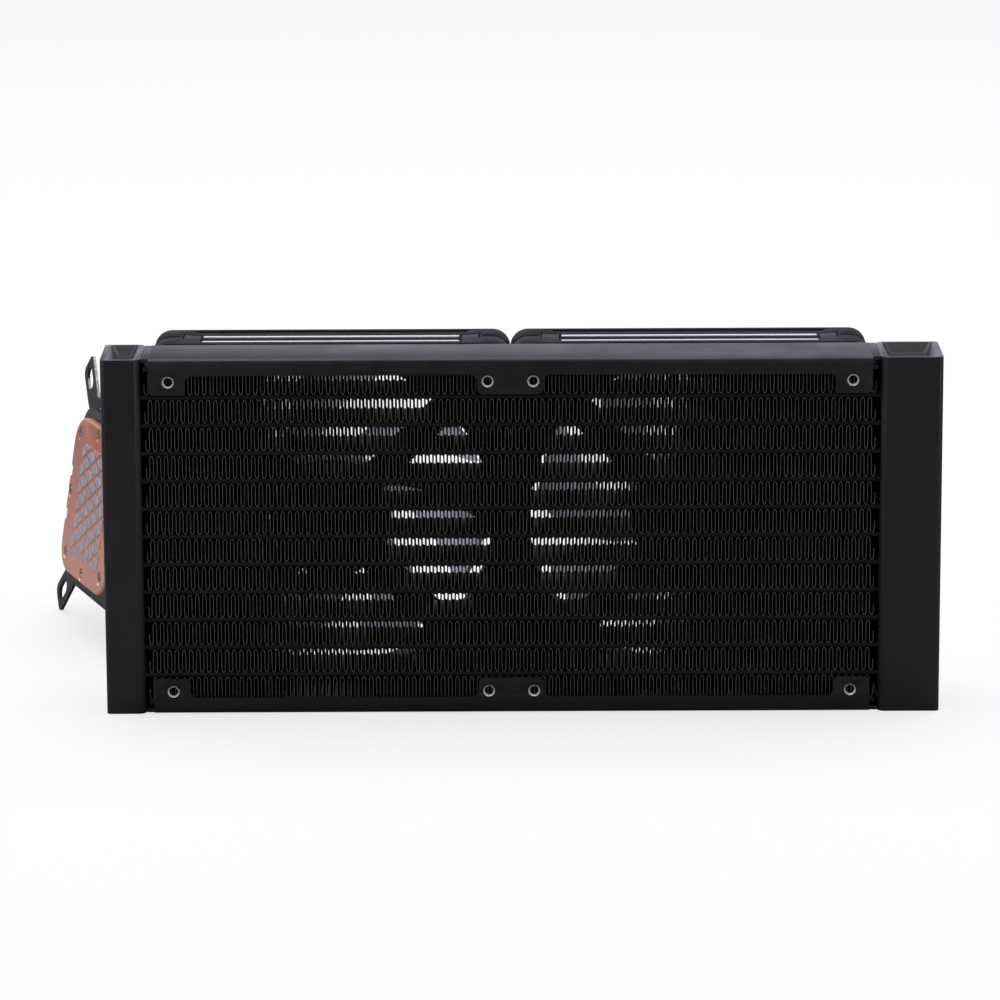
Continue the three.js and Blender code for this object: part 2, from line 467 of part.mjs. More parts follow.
// impeller with its magnet rotor, on a ceramic shaft in the well
let imp = turned([[1.9, -33], [8.6, -33], [8.6, -13.2], [19, -13.2], [19, -12], [4.4, -12], [4.4, -8.6], [1.9, -8.6], [1.9, -33]], W, O, 20);
for (let k = 0; k < 6; k++) {
  const t = (k * Math.PI) / 3;
  const bar = [[3.6, -0.7], [18, 2.6], [18, 4], [3.6, 0.7]].map(([a, b]) => [a * Math.cos(t) - b * Math.sin(t), a * Math.sin(t) + b * Math.cos(t)]);
  imp = imp.add(prismZ(bar, -12.4, -9));
}
put(head, 'impeller', imp, { color: 0xd8d8d4, roughness: 0.5, metalness: 0.0 });
put(head, 'pump_shaft', rod(1.5, -33.7, -7.8, W, O, 12), { color: 0xe6e4dc, roughness: 0.3, metalness: 0.0 });
const [so, sh] = toothed(11, 24, 16, 6, 0.36);
put(head, 'pump_stator', prismZ(so, -33, -20, [sh]), { color: 0xa5673f, roughness: 0.4, metalness: 0.8 });
put(head, 'pump_pcb', prismZ(circle(0, 0, 34, 28), -38.6, -37, [circle(0, 0, 4, 12).reverse()]), { color: 0x1f4a34, roughness: 0.5, metalness: 0.1 });

// swivel elbows with hose barbs
for (const [name, v] of [['elbow_upper', ELBOW_V], ['elbow_lower', -ELBOW_V]]) {
  const at = [0, v, ELBOW_W], u0 = 44, u1 = 57;
  let e = rod(6.8, u0, u1, [-1, 0, 0], at, 18);
  const arm = [[0, 0], [5.6, 0], [5.6, 12], [6.6, 13.4], [5.4, 17.4], [6.6, 18.8], [5.2, 25], [0, 25]];
  e = e.add(turned(arm, [0, 0, -1], [-(u1 - 6.6), v, ELBOW_W], 18));
  e = cut(e, rod(3.6, u0 - 1, u1 - 5, [-1, 0, 0], at, 14), rod(3.5, 0, 26, [0, 0, -1], [-(u1 - 6.6), v, ELBOW_W], 14));
  put(head, name, e, plastic);
}

export default part;
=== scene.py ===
import math
import random

import bmesh
import bpy
import numpy as np
from mathutils import Matrix, Vector


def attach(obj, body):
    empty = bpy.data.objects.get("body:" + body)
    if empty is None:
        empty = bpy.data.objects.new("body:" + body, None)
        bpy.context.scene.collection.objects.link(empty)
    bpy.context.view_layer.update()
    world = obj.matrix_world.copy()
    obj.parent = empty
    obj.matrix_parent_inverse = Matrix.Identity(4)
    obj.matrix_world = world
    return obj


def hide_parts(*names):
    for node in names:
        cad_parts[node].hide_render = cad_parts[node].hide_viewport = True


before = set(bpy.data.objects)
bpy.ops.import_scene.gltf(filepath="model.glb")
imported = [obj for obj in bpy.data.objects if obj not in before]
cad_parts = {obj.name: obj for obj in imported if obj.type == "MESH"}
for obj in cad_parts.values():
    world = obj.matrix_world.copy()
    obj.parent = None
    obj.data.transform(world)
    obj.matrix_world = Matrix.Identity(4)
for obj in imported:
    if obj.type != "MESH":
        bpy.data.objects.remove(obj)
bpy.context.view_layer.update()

MM = 0.001
scene = bpy.context.scene

# =============================================================== camera
AZ, EL, ROLL = math.radians(0.135), math.radians(12.898), math.radians(-0.262)
DIST, FOCAL_PX = 1.7037, 5122.8
back = Vector((math.sin(AZ) * math.cos(EL), -math.cos(AZ) * math.cos(EL), math.sin(EL)))
right = (-back).cross(Vector((0, 0, 1))).normalized()
up = right.cross(-back)
cx = right * math.cos(ROLL) + up * math.sin(ROLL)
cy = -right * math.sin(ROLL) + up * math.cos(ROLL)
cam_data = bpy.data.cameras.new("camera")
cam = bpy.data.objects.new("camera", cam_data)
scene.collection.objects.link(cam)
cam.matrix_world = Matrix((
    (cx.x, cy.x, back.x, -0.00363 + back.x * DIST),
    (cx.y, cy.y, back.y, back.y * DIST),
    (cx.z, cy.z, back.z, 0.06949 + back.z * DIST),
    (0, 0, 0, 1)))
cam_data.sensor_width = 36
cam_data.lens = FOCAL_PX * 36 / 1000
cam_data.clip_start, cam_data.clip_end = 0.05, 60
scene.camera = cam
scene.view_settings.view_transform = "Standard"
scene.view_settings.look = "None"

# =============================================================== mesh helpers (millimetres)
def link(name, mesh):
    o = bpy.data.objects.new(name, mesh)
    scene.collection.objects.link(o)
    return o


def mesh_obj(name, verts, faces):
    me = bpy.data.meshes.new(name)
    me.from_pydata([tuple(float(c) for c in v) for v in verts], [], [tuple(f) for f in faces])
    me.validate()
    bm = bmesh.new()
    bm.from_mesh(me)
    bmesh.ops.recalc_face_normals(bm, faces=bm.faces)
    bm.to_mesh(me)
    bm.free()
    return link(name, me)


def circle(cx, cy, r, n, phase=0.0):
    return [(cx + r * math.cos(phase + 2 * math.pi * i / n), cy + r * math.sin(phase + 2 * math.pi * i / n)) for i in range(n)]


def rounded(corners, seg=8):
    """Outline with rounded corners; corners are (x, y, radius)."""
    out, n = [], len(corners)
    for i in range(n):
        x, y, r = corners[i]
        p = Vector((x, y))
        if r <= 0:
            out.append((x, y))
            continue
        a = (Vector(corners[i - 1][:2]) - p).normalized()
        b = (Vector(corners[(i + 1) % n][:2]) - p).normalized()
        half = math.acos(max(-1, min(1, a.dot(b)))) / 2
        t = r / math.tan(half)
        c = (a + b).normalized() * (r / math.sin(half)) + p
        s, e = p + a * t, p + b * t
        a0, a1 = math.atan2(s.y - c.y, s.x - c.x), math.atan2(e.y - c.y, e.x - c.x)
        while a1 - a0 > math.pi:
            a1 -= 2 * math.pi
        while a1 - a0 < -math.pi:
            a1 += 2 * math.pi
        for k in range(seg + 1):
            q = a0 + (a1 - a0) * k / seg
            out.append((c.x + r * math.cos(q), c.y + r * math.sin(q)))
    return out


def rect(x0, y0, x1, y1, r=0.0, seg=8):
    return rounded([(x0, y0, r), (x1, y0, r), (x1, y1, r), (x0, y1, r)], seg)


def prism(points, a, b, axis, name="tmp"):
    """Outline extruded from a to b. axis Y: points are (x, z); X: (y, z); Z: (x, y)."""
    n = len(points)
    put = {"Y": lambda p, e: (p[0], e, p[1]), "X": lambda p, e: (e, p[0], p[1]), "Z": lambda p, e: (p[0], p[1], e)}[axis]
    verts = [put(p, a) for p in points] + [put(p, b) for p in points]
    faces = [list(range(n)), list(range(2 * n - 1, n - 1, -1))] + [[i, (i + 1) % n, n + (i + 1) % n, n + i] for i in range(n)]
    return mesh_obj(name, verts, faces)


def loft(rings, name="tmp", close=True):
    """Rings of equal length joined in order, ends capped."""
    n = len(rings[0])
    verts = [v for r in rings for v in r]
    faces = []
    for k in range(len(rings) - 1):
        for i in range(n):
            j = (i + 1) % n
            faces.append([k * n + i, k * n + j, (k + 1) * n + j, (k + 1) * n + i])
    if close:
        faces.append(list(range(n)))
        faces.append(list(range(len(verts) - 1, len(verts) - 1 - n, -1)))
    return mesh_obj(name, verts, faces)


def turned(profile, axis, at, seg=64, name="tmp"):
    """Profile of (radius, height) turned about axis through at. A profile that starts and ends off the axis closes on itself."""
    ax = Vector(axis).normalized()
    u = ax.orthogonal().normalized()
    w = ax.cross(u)
    at = Vector(at)
    verts, rows = [], []
    for r, h in profile:
        if r < 1e-6:
            rows.append([len(verts)] * seg)
            verts.append(at + ax * h)
        else:
            rows.append(list(range(len(verts), len(verts) + seg)))
            for i in range(seg):
                t = 2 * math.pi * i / seg
                verts.append(at + ax * h + (u * math.cos(t) + w * math.sin(t)) * r)
    closed = profile[0][0] > 1e-6
    faces = []
    pairs = list(zip(rows[:-1], rows[1:])) + ([(rows[-1], rows[0])] if closed else [])
    for a, b in pairs:
        for i in range(seg):
            j = (i + 1) % seg
            f = []
            for k in (a[i], a[j], b[j], b[i]):
                if k not in f:
                    f.append(k)
            if len(f) > 2:
                faces.append(f)
    return mesh_obj(name, verts, faces)


def arc(cx, cy, r, a0, a1, n):
    return [(cx + r * math.cos(math.radians(a0 + (a1 - a0) * i / n)), cy + r * math.sin(math.radians(a0 + (a1 - a0) * i / n))) for i in range(n + 1)]


def rod(r, h0, h1, axis, at, seg=48, name="tmp"):
    return turned([(0, h0), (r, h0), (r, h1), (0, h1)], axis, at, seg, name)


def bake(o):
    dg = bpy.context.evaluated_depsgraph_get()
    dg.update()
    me = bpy.data.meshes.new_from_object(o.evaluated_get(dg))
    o.modifiers.clear()
    o.data = me
    return o


def boolean(target, others, op):
    for x in others:
        m = target.modifiers.new("b", "BOOLEAN")
        m.operation, m.object, m.solver = op, x, "MANIFOLD"
    bake(target)
    for x in others:
        bpy.data.objects.remove(x)
    if not target.data.polygons:
        raise RuntimeError(f"boolean {op} emptied {target.name}")
    return target


def cut(target, *others):
    return boolean(target, others, "DIFFERENCE")


def join(target, *others):
    return boolean(target, others, "UNION")


def tidy(o, bevel=0.0, seg=2, angle=35, smooth=35):
    """Merges, clears flat edges, rounds the sharp ones and shades smoothly."""
    bm = bmesh.new()
    bm.from_mesh(o.data)
    bmesh.ops.remove_doubles(bm, verts=bm.verts, dist=1e-4)
    bmesh.ops.dissolve_degenerate(bm, dist=1e-4, edges=bm.edges)
    bmesh.ops.dissolve_limit(bm, angle_limit=math.radians(0.3), verts=bm.verts, edges=bm.edges, delimit={"MATERIAL"})
    bm.to_mesh(o.data)
    bm.free()
    if bevel:
        m = o.modifiers.new("bevel", "BEVEL")
        m.width, m.segments, m.limit_method, m.angle_limit = bevel, seg, "ANGLE", math.radians(angle)
        m.use_clamp_overlap = True
        m.miter_outer = "MITER_ARC"
        bake(o)
    o.data.shade_smooth()
    o.data.set_sharp_from_angle(angle=math.radians(smooth))
    return o


def place(o, name, body, mats, replaces=(), matrix=None, pick=None):
    """Names a finished piece, scales it to metres and rides it on its body."""
    index = [pick(p.center, p.normal) for p in o.data.polygons] if pick else None
    if matrix is not None:
        o.data.transform(matrix)
    o.data.transform(Matrix.Scale(MM, 4))
    o.name = name
    o.data.name = name
    while len(o.data.materials):
        o.data.materials.pop()
    for m in mats:
        o.data.materials.append(m)
    if index:
        for p, i in zip(o.data.polygons, index):
            p.material_index = i
    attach(o, body)
    if replaces:
        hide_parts(*replaces)
    return o


def joined(objs):
    """Several separate solids as one object."""
    bm = bmesh.new()
    for o in objs:
        bm.from_mesh(o.data)
    me = bpy.data.meshes.new("joined")
    bm.to_mesh(me)
    bm.free()
    for o in objs:
        bpy.data.objects.remove(o)
    return link("tmp", me)


# =============================================================== materials
def nodes_of(name):
    m = bpy.data.materials.new(name)
    m.use_nodes = True
    nt = m.node_tree
    nt.nodes.clear()
    out = nt.nodes.new("ShaderNodeOutputMaterial")
    b = nt.nodes.new("ShaderNodeBsdfPrincipled")
    nt.links.new(b.outputs["BSDF"], out.inputs["Surface"])
    co = nt.nodes.new("ShaderNodeTexCoord")
    return m, nt, b, co.outputs["Object"]


def noise(nt, vec, scale, detail=3, rough=0.55, dist=0.0):
    n = nt.nodes.new("ShaderNodeTexNoise")
    n.inputs["Scale"].default_value = scale
    n.inputs["Detail"].default_value = detail
    n.inputs["Roughness"].default_value = rough
    n.inputs["Distortion"].default_value = dist
    nt.links.new(vec, n.inputs["Vector"])
    return n.outputs["Fac"]


def mapped(nt, vec, scale=(1, 1, 1), rot=(0, 0, 0)):
    n = nt.nodes.new("ShaderNodeMapping")
    n.inputs["Scale"].default_value = scale
    n.inputs["Rotation"].default_value = rot
    nt.links.new(vec, n.inputs["Vector"])
    return n.outputs["Vector"]


def remap(nt, fac, a, b, lo, hi):
    n = nt.nodes.new("ShaderNodeMapRange")
    n.inputs["From Min"].default_value, n.inputs["From Max"].default_value = a, b
    n.inputs["To Min"].default_value, n.inputs["To Max"].default_value = lo, hi
    nt.links.new(fac, n.inputs["Value"])
    return n.outputs["Result"]


def mix(nt, fac, a, b, mode="MIX"):
    n = nt.nodes.new("ShaderNodeMix")
    n.data_type, n.blend_type = "RGBA", mode
    for sock, v in ((n.inputs[0], fac), (n.inputs[6], a), (n.inputs[7], b)):
        if hasattr(v, "links"):
            nt.links.new(v, sock)
        elif isinstance(v, (int, float)):
            sock.default_value = v
        else:
            sock.default_value = (*v, 1.0)
    return n.outputs[2]


def math_node(nt, op, a, b=None):
    n = nt.nodes.new("ShaderNodeMath")
    n.operation = op
    for sock, v in ((n.inputs[0], a), (n.inputs[1], b)):
        if v is None:
            continue
        if hasattr(v, "links"):
            nt.links.new(v, sock)
        else:
            sock.default_value = v
    return n.outputs[0]


def bump(nt, b, height, strength, distance, normal=None):
    n = nt.nodes.new("ShaderNodeBump")
    n.inputs["Strength"].default_value = strength
    n.inputs["Distance"].default_value = distance
    nt.links.new(height, n.inputs["Height"])
    if normal is not None:
        nt.links.new(normal, n.inputs["Normal"])
    nt.links.new(n.outputs["Normal"], b.inputs["Normal"])
    return n.outputs["Normal"]


def coated(name, color, rough, grain=900, depth=0.02, vary=0.18, metal=0.0, spec=0.5, large=18, edge_highlight=0.0, edge_highlight_color=(0.3, 0.3, 0.3)):
    """Paint, powder coat or moulded plastic: a fine grain in the surface, slow changes of tone and of gloss."""
    m, nt, b, vec = nodes_of(name)
    slow = noise(nt, vec, large, 2)
    fine = noise(nt, vec, grain, 2, 0.6)
    dark = tuple(c * (1 - vary) for c in color)
    light = tuple(min(1, c * (1 + vary)) for c in color)
    col = mix(nt, remap(nt, slow, 0.3, 0.7, 0, 1), dark, light)
    col = mix(nt, remap(nt, fine, 0.45, 0.75, 0, 0.35), col, tuple(min(1, c * 1.9) for c in color))
    # painted highlight: convex edges, found by pointiness, are lightened in broken patches
    if edge_highlight:
        g = nt.nodes.new("ShaderNodeNewGeometry")
        e = remap(nt, g.outputs["Pointiness"], 0.52, 0.62, 0, edge_highlight)
        e = math_node(nt, "MULTIPLY", e, remap(nt, noise(nt, vec, 120, 3), 0.35, 0.65, 0.2, 1))
        col = mix(nt, e, col, edge_highlight_color)
    nt.links.new(col, b.inputs["Base Color"])
    nt.links.new(remap(nt, noise(nt, vec, large * 5, 3), 0.3, 0.7, rough - 0.06, rough + 0.07), b.inputs["Roughness"])
    b.inputs["Metallic"].default_value = metal
    b.inputs["Specular IOR Level"].default_value = spec
    bump(nt, b, fine, 0.5, depth * MM)
    return m


def metal(name, color, rough, brush=(1, 1, 1), scale=300, amount=0.12, depth=0.004, vary=0.1, aniso=0.0):
    """Bare metal: fine directional scratches, patchy gloss and tone."""
    m, nt, b, vec = nodes_of(name)
    lines = noise(nt, mapped(nt, vec, brush), scale, 4, 0.65)
    slow = noise(nt, vec, 35, 3)
    col = mix(nt, remap(nt, slow, 0.3, 0.7, 0, 1), tuple(c * (1 - vary) for c in color), tuple(min(1, c * (1 + vary)) for c in color))
    col = mix(nt, remap(nt, lines, 0.4, 0.7, 0, 0.3), col, tuple(c * 0.75 for c in color))
    nt.links.new(col, b.inputs["Base Color"])
    b.inputs["Metallic"].default_value = 1.0
    nt.links.new(remap(nt, lines, 0.3, 0.7, rough - amount, rough + amount), b.inputs["Roughness"])
    b.inputs["Anisotropic"].default_value = aniso
    bump(nt, b, lines, 0.4, depth * MM)
    return m


# the powder coat carries a painted highlight on its convex edges
M_BLACK = coated("radiator_powder_coat", (0.0056, 0.0056, 0.0080), 0.44, grain=1500, depth=0.012, vary=0.06, spec=0.30, large=9, edge_highlight=0.25, edge_highlight_color=(0.05, 0.05, 0.055))
def fin_material():
    """Thin dark paint on folded sheet; the faces that look along the depth, the front and back cut edges, carry a
    painted highlight.
    """
    m, nt, b, vec = nodes_of("fin_paint")
    co = nt.nodes.new("ShaderNodeTexCoord")
    sep = nt.nodes.new("ShaderNodeSeparateXYZ")
    nt.links.new(co.outputs["Normal"], sep.inputs[0])
    facing = math_node(nt, "ABSOLUTE", sep.outputs["Y"])
    # painted highlight: faces whose normal runs along Y are lightened, and a lighter speckle is laid on them
    edge_highlight = remap(nt, facing, 0.6, 0.85, 0, 1)
    patch = remap(nt, noise(nt, vec, 160, 3), 0.3, 0.7, 0.88, 1.08)
    col = mix(nt, edge_highlight, (0.0150, 0.0155, 0.0150), (0.160, 0.154, 0.138))
    col = mix(nt, math_node(nt, "MULTIPLY", remap(nt, noise(nt, vec, 700, 2), 0.4, 0.7, 0, 0.3), edge_highlight), col, (0.26, 0.25, 0.225))
    hue = nt.nodes.new("ShaderNodeHueSaturation")
    nt.links.new(col, hue.inputs["Color"])
    nt.links.new(patch, hue.inputs["Value"])
    nt.links.new(hue.outputs["Color"], b.inputs["Base Color"])
    nt.links.new(remap(nt, noise(nt, vec, 300, 3), 0.3, 0.7, 0.5, 0.65), b.inputs["Roughness"])
    b.inputs["Specular IOR Level"].default_value = 0.0
    bump(nt, b, noise(nt, vec, 700, 2), 0.15, 0.006 * MM)
    return m


def rotor_material():
    """Frosted light grey plastic that lets some light through."""
    m = coated("fan_rotor_plastic", (0.66, 0.64, 0.72), 0.42, grain=700, depth=0.012, vary=0.05)
    nt = m.node_tree
    b = nt.nodes["Principled BSDF"]
    out = nt.nodes["Material Output"]
    t = nt.nodes.new("ShaderNodeBsdfTranslucent")
    co = nt.nodes.new("ShaderNodeTexCoord")
    nt.links.new(mix(nt, remap(nt, noise(nt, co.outputs["Object"], 40, 3), 0.3, 0.7, 0, 1), (0.92, 0.90, 1.0), (0.96, 0.94, 1.0)), t.inputs["Color"])
    mx = nt.nodes.new("ShaderNodeMixShader")
    mx.inputs[0].default_value = 0.68
    nt.links.new(b.outputs[0], mx.inputs[1])
    nt.links.new(t.outputs[0], mx.inputs[2])
    nt.links.new(mx.outputs[0], out.inputs["Surface"])
    return m


# the tank coat carries a painted highlight on its convex edges
M_TANK = coated("tank_powder_coat", (0.0148, 0.0148, 0.0188), 0.33, grain=1500, depth=0.010, vary=0.05, spec=0.34, large=9, edge_highlight=0.25, edge_highlight_color=(0.055, 0.055, 0.06))
M_FIN = fin_material()
M_TUBE = coated("tube_paint", (0.0125, 0.0125, 0.0135), 0.55, grain=700, depth=0.012, vary=0.15, spec=0.07)
M_BARE = metal("bare_threads", (0.99, 0.99, 0.98), 0.34, scale=900, amount=0.1)
M_BARE.node_tree.nodes["Principled BSDF"].inputs["Metallic"].default_value = 0.45
M_FRAME = coated("fan_frame_plastic", (0.0108, 0.0108, 0.0142), 0.60, grain=1100, depth=0.015, vary=0.08, spec=0.06)
M_FRAME_DARK = coated("fan_pad_rubber", (0.026, 0.025, 0.031), 0.62, grain=800, depth=0.02, vary=0.1, spec=0.14)
# painted highlight: a light material for strips that stand in for light caught by the fan channels' edges
M_FAN_EDGE_HIGHLIGHT = coated("fan_painted_edge_highlight", (0.66, 0.66, 0.80), 0.35, grain=900, depth=0.008, vary=0.06)
M_ROTOR = rotor_material()
M_STEEL = metal("ground_steel", (0.60, 0.61, 0.63), 0.25, brush=(1, 1, 6), scale=500)
M_WIND = metal("motor_windings", (0.55, 0.24, 0.10), 0.35, brush=(1, 20, 1), scale=220, amount=0.15, depth=0.05)
M_SCREW = metal("black_zinc_screw", (0.09, 0.09, 0.10), 0.34, scale=700, amount=0.1)
M_COPPER = metal("ground_copper", (0.76, 0.33, 0.235), 0.46, brush=(1, 1, 1), scale=260, amount=0.08, vary=0.05)
M_PASTE = coated("thermal_paste_grey", (0.42, 0.40, 0.49), 0.48, grain=500, depth=0.03, vary=0.1, large=200)
# painted reflection: the copper's base colour is lightened towards the bottom of the plate, standing in for light from
# the floor
co = M_COPPER.node_tree.nodes.new("ShaderNodeTexCoord")
se = M_COPPER.node_tree.nodes.new("ShaderNodeSeparateXYZ")
M_COPPER.node_tree.links.new(co.outputs["Generated"], se.inputs[0])
painted_floor_reflection = remap(M_COPPER.node_tree, se.outputs["Z"], 0.0, 0.8, 1, 0)
bc = M_COPPER.node_tree.nodes["Principled BSDF"].inputs["Base Color"]
src = bc.links[0].from_socket
M_COPPER.node_tree.links.new(mix(M_COPPER.node_tree, painted_floor_reflection, src, (0.98, 0.54, 0.44)), bc)
M_SILVER = metal("plated_screw", (0.50, 0.50, 0.52), 0.30, scale=900, amount=0.1)
M_BRACKET = coated("bracket_coating", (0.026, 0.025, 0.030), 0.50, grain=900, depth=0.015, vary=0.12, metal=0.1, spec=0.3)
M_CUT = metal("cut_steel_edge", (0.25, 0.23, 0.24), 0.45, brush=(1, 1, 1), scale=900, amount=0.25, depth=0.1, vary=0.6)
M_PUMP = coated("pump_plastic", (0.014, 0.014, 0.016), 0.42, grain=900, depth=0.015, vary=0.12, spec=0.35)
M_GLOSS = coated("cover_gloss_plastic", (0.010, 0.010, 0.012), 0.16, grain=300, depth=0.002, vary=0.1)
M_WHITE = coated("impeller_plastic", (0.70, 0.70, 0.67), 0.4, grain=500, depth=0.01, vary=0.05)
M_CERAMIC = coated("ground_ceramic", (0.80, 0.79, 0.75), 0.25, grain=900, depth=0.004, vary=0.03)
M_PCB = coated("circuit_board", (0.012, 0.075, 0.035), 0.35, grain=400, depth=0.02, vary=0.25)

# =============================================================== radiator
RAD_H, RAD_D = 120.0, 27.0
H = RAD_D / 2
TUBE_PITCH = 9.42
tube_z = [RAD_H / 2 + (i - 5) * TUBE_PITCH for i in range(11)]
HOLES = [(x, z) for z in (7.5, 112.5) for x in (-112.5, -7.5, 7.5, 112.5)]


def rail(top):
    sheet, zl = 1.2, RAD_H - 5.4
    r = 1.5
    outer = [(-H, zl)] + arc(-H + r, RAD_H - r, r, 180, 90, 8) + arc(H - r, RAD_H - r, r, 90, 0, 8) + [(H, zl)]
    inner = [(H - sheet, zl)] + arc(H - r, RAD_H - r, r - sheet, 0, 90, 4) + arc(-H + r, RAD_H - r, r - sheet, 90, 180, 4) + [(-H + sheet, zl)]
    s = prism(outer + inner, -119, 119, "X")
    # the web runs on to the tanks
    ends = [prism(rect(-H + 2, RAD_H - sheet, H - 2, RAD_H), a, b, "X") for a, b in ((-121.5, -118), (118, 121.5))]
    zt, zo, f = RAD_H - 11.9, zl + 1.5, 2.0
    tabs = []
    for q in (-1, 1):
        o = [(-119, zo, 0), (-119, zt, 1.7), (-106.8, zt, f), (-106.8, zl, f), (-101.5, zl, 0), (-101.5, zo, 0)]
        o = [(-q * x, z, rr) for x, z, rr in o]
        tabs.append(o)
    tabs.append([(-16.5, zo, 0), (-16.5, zl, 0), (-10.9, zl, f), (-10.9, zt, f), (10.9, zt, f), (10.9, zl, f), (16.5, zl, 0), (16.5, zo, 0)])
    plates = []
    for ya, yb in ((-H, -H + sheet), (H - sheet, H)):
        for o in tabs:
            plates.append(prism(rounded(o, 6), ya, yb, "Y"))
    s = join(s, *ends, *plates)
    cutters = []
    for x, z in HOLES:
        if z > 60:
            for q in (-1, 1):
                # threaded hole with a small turned chamfer at its mouth
                cutters.append(turned([(0, H - 3), (1.5, H - 3), (1.45, H - 0.6), (1.95, H - 0.05), (1.95, H + 1), (0, H + 1)], (0, q, 0), (x, 0, z), 40))
    s = cut(s, *cutters)
    if not top:
        s.data.transform(Matrix.Translation((0, 0, RAD_H)) @ Matrix.Scale(-1, 4, (0, 0, 1)))
        s.data.flip_normals()
    tidy(s, 0.22, 2, 40, 40)
    zc = 112.5 if top else 7.5

    def pick(c, n):
        return 1 if abs(c.z - zc) < 2.4 and min(math.hypot(c.x - x, c.z - zc) for x in (-112.5, -7.5, 7.5, 112.5)) < 2.0 and abs(abs(c.y) - H) < 1.3 and abs(n.y) < 0.98 else 0
    return place(s, "rail_top_sheet" if top else "rail_bottom_sheet", "root", [M_BLACK, M_BARE],
                 ["top_rail" if top else "bottom_rail"], pick=pick)


rail(True)
rail(False)


def tank(side, inner, outer, name, node):
    x0, x1 = sorted((side * inner, side * outer))
    ri, ro = (1.5, 2.6) if side < 0 else (2.6, 1.5)
    s = prism(rounded([(x0, -H, ri), (x1, -H, ro), (x1, H, ro), (x0, H, ri)], 10), 0, RAD_H, "Z")
    zc = 4.6
    cav = prism(rect(x0 - 1 if side > 0 else x0 + 1.6, -H + 1.6, x1 - 1.6 if side > 0 else x1 + 1, H - 1.6, 1.0, 4), zc, RAD_H - zc, "Z")
    pockets = []
    for e in (0, 1):
        z = lambda h: RAD_H - h if e else h
        a = rect(x0 + 1.9, -H + 1.15, x1 - 1.9, H - 1.15, 1.6, 8)
        b = rect(x0 + 4.1, -H + 3.5, x1 - 4.1, H - 3.5, 1.0, 8)
        k = 1 / 3.0
        a2 = [(p[0] + (p[0] - q[0]) * k, p[1] + (p[1] - q[1]) * k) for p, q in zip(a, b)]
        pockets.append(loft([[(p[0], p[1], z(-1.0)) for p in a2], [(p[0], p[1], z(3.0)) for p in b]]))
    cutters = [cav, *pockets]
    if side > 0:
        cutters += [rod(4.2, H - 3, H + 1, (0, 1, 0), (131, 0, z), 48) for z in (38, 82)]
    cut(s, *cutters)
    tidy(s, 0.35, 3, 40, 40)
    return place(s, name, "root", [M_TANK], [node])


tank(-1, 121.6, 134.8, "tank_left_shell", "tank_left")
tank(1, 121.6, 142.2, "tank_right_shell", "tank_right")


def port(z, name, node):
    y = H + 0.3
    p = [(3.4, y), (7.3, y), (7.5, y + 0.2), (7.5, y + 2.8), (7.3, y + 3.0), (5.6, y + 3.2), (5.2, y + 3.8), (5.2, y + 6.0)]
    for k in range(3):
        b = y + 6.2 + k * 3.9
        p += [(6.5, b), (6.5, b + 0.4), (5.2, b + 3.2)]
    p += [(5.2, y + 19.2), (4.7, y + 19.7), (3.4, y + 19.7)]
    s = turned(p, (0, 1, 0), (131, 0, z), 64)
    tidy(s, 0.12, 2, 35, 30)
    return place(s, name, "root", [M_PUMP], [node])


port(38, "port_lower_barb", "port_lower")
port(82, "port_upper_barb", "port_upper")


def flat_section(depth, thick, seg):
    r, out = thick / 2, []
    c = depth / 2 - r
    for s, a in ((1, -90), (-1, 90)):
        out += [(s * c + r * math.cos(math.radians(a + 180 * k / seg)), r * math.sin(math.radians(a + 180 * k / seg))) for k in range(seg + 1)]
    return out


for i, z in enumerate(tube_z):
    sec = [(a, b + z) for a, b in flat_section(24.2, 1.5, 10)]
    s = prism(sec, -124.5, 124.5, "X")
    s = cut(s, *[prism(rect(-10.9 + k * 3.68, z - 0.4, -7.5 + k * 3.68, z + 0.4, 0.25, 2), -126, 126, "X") for k in range(6)])
    tidy(s, 0, smooth=40)
    place(s, f"tube_{i + 1:02d}", "root", [M_TUBE], [f"flat_tube_{i + 1:02d}"])


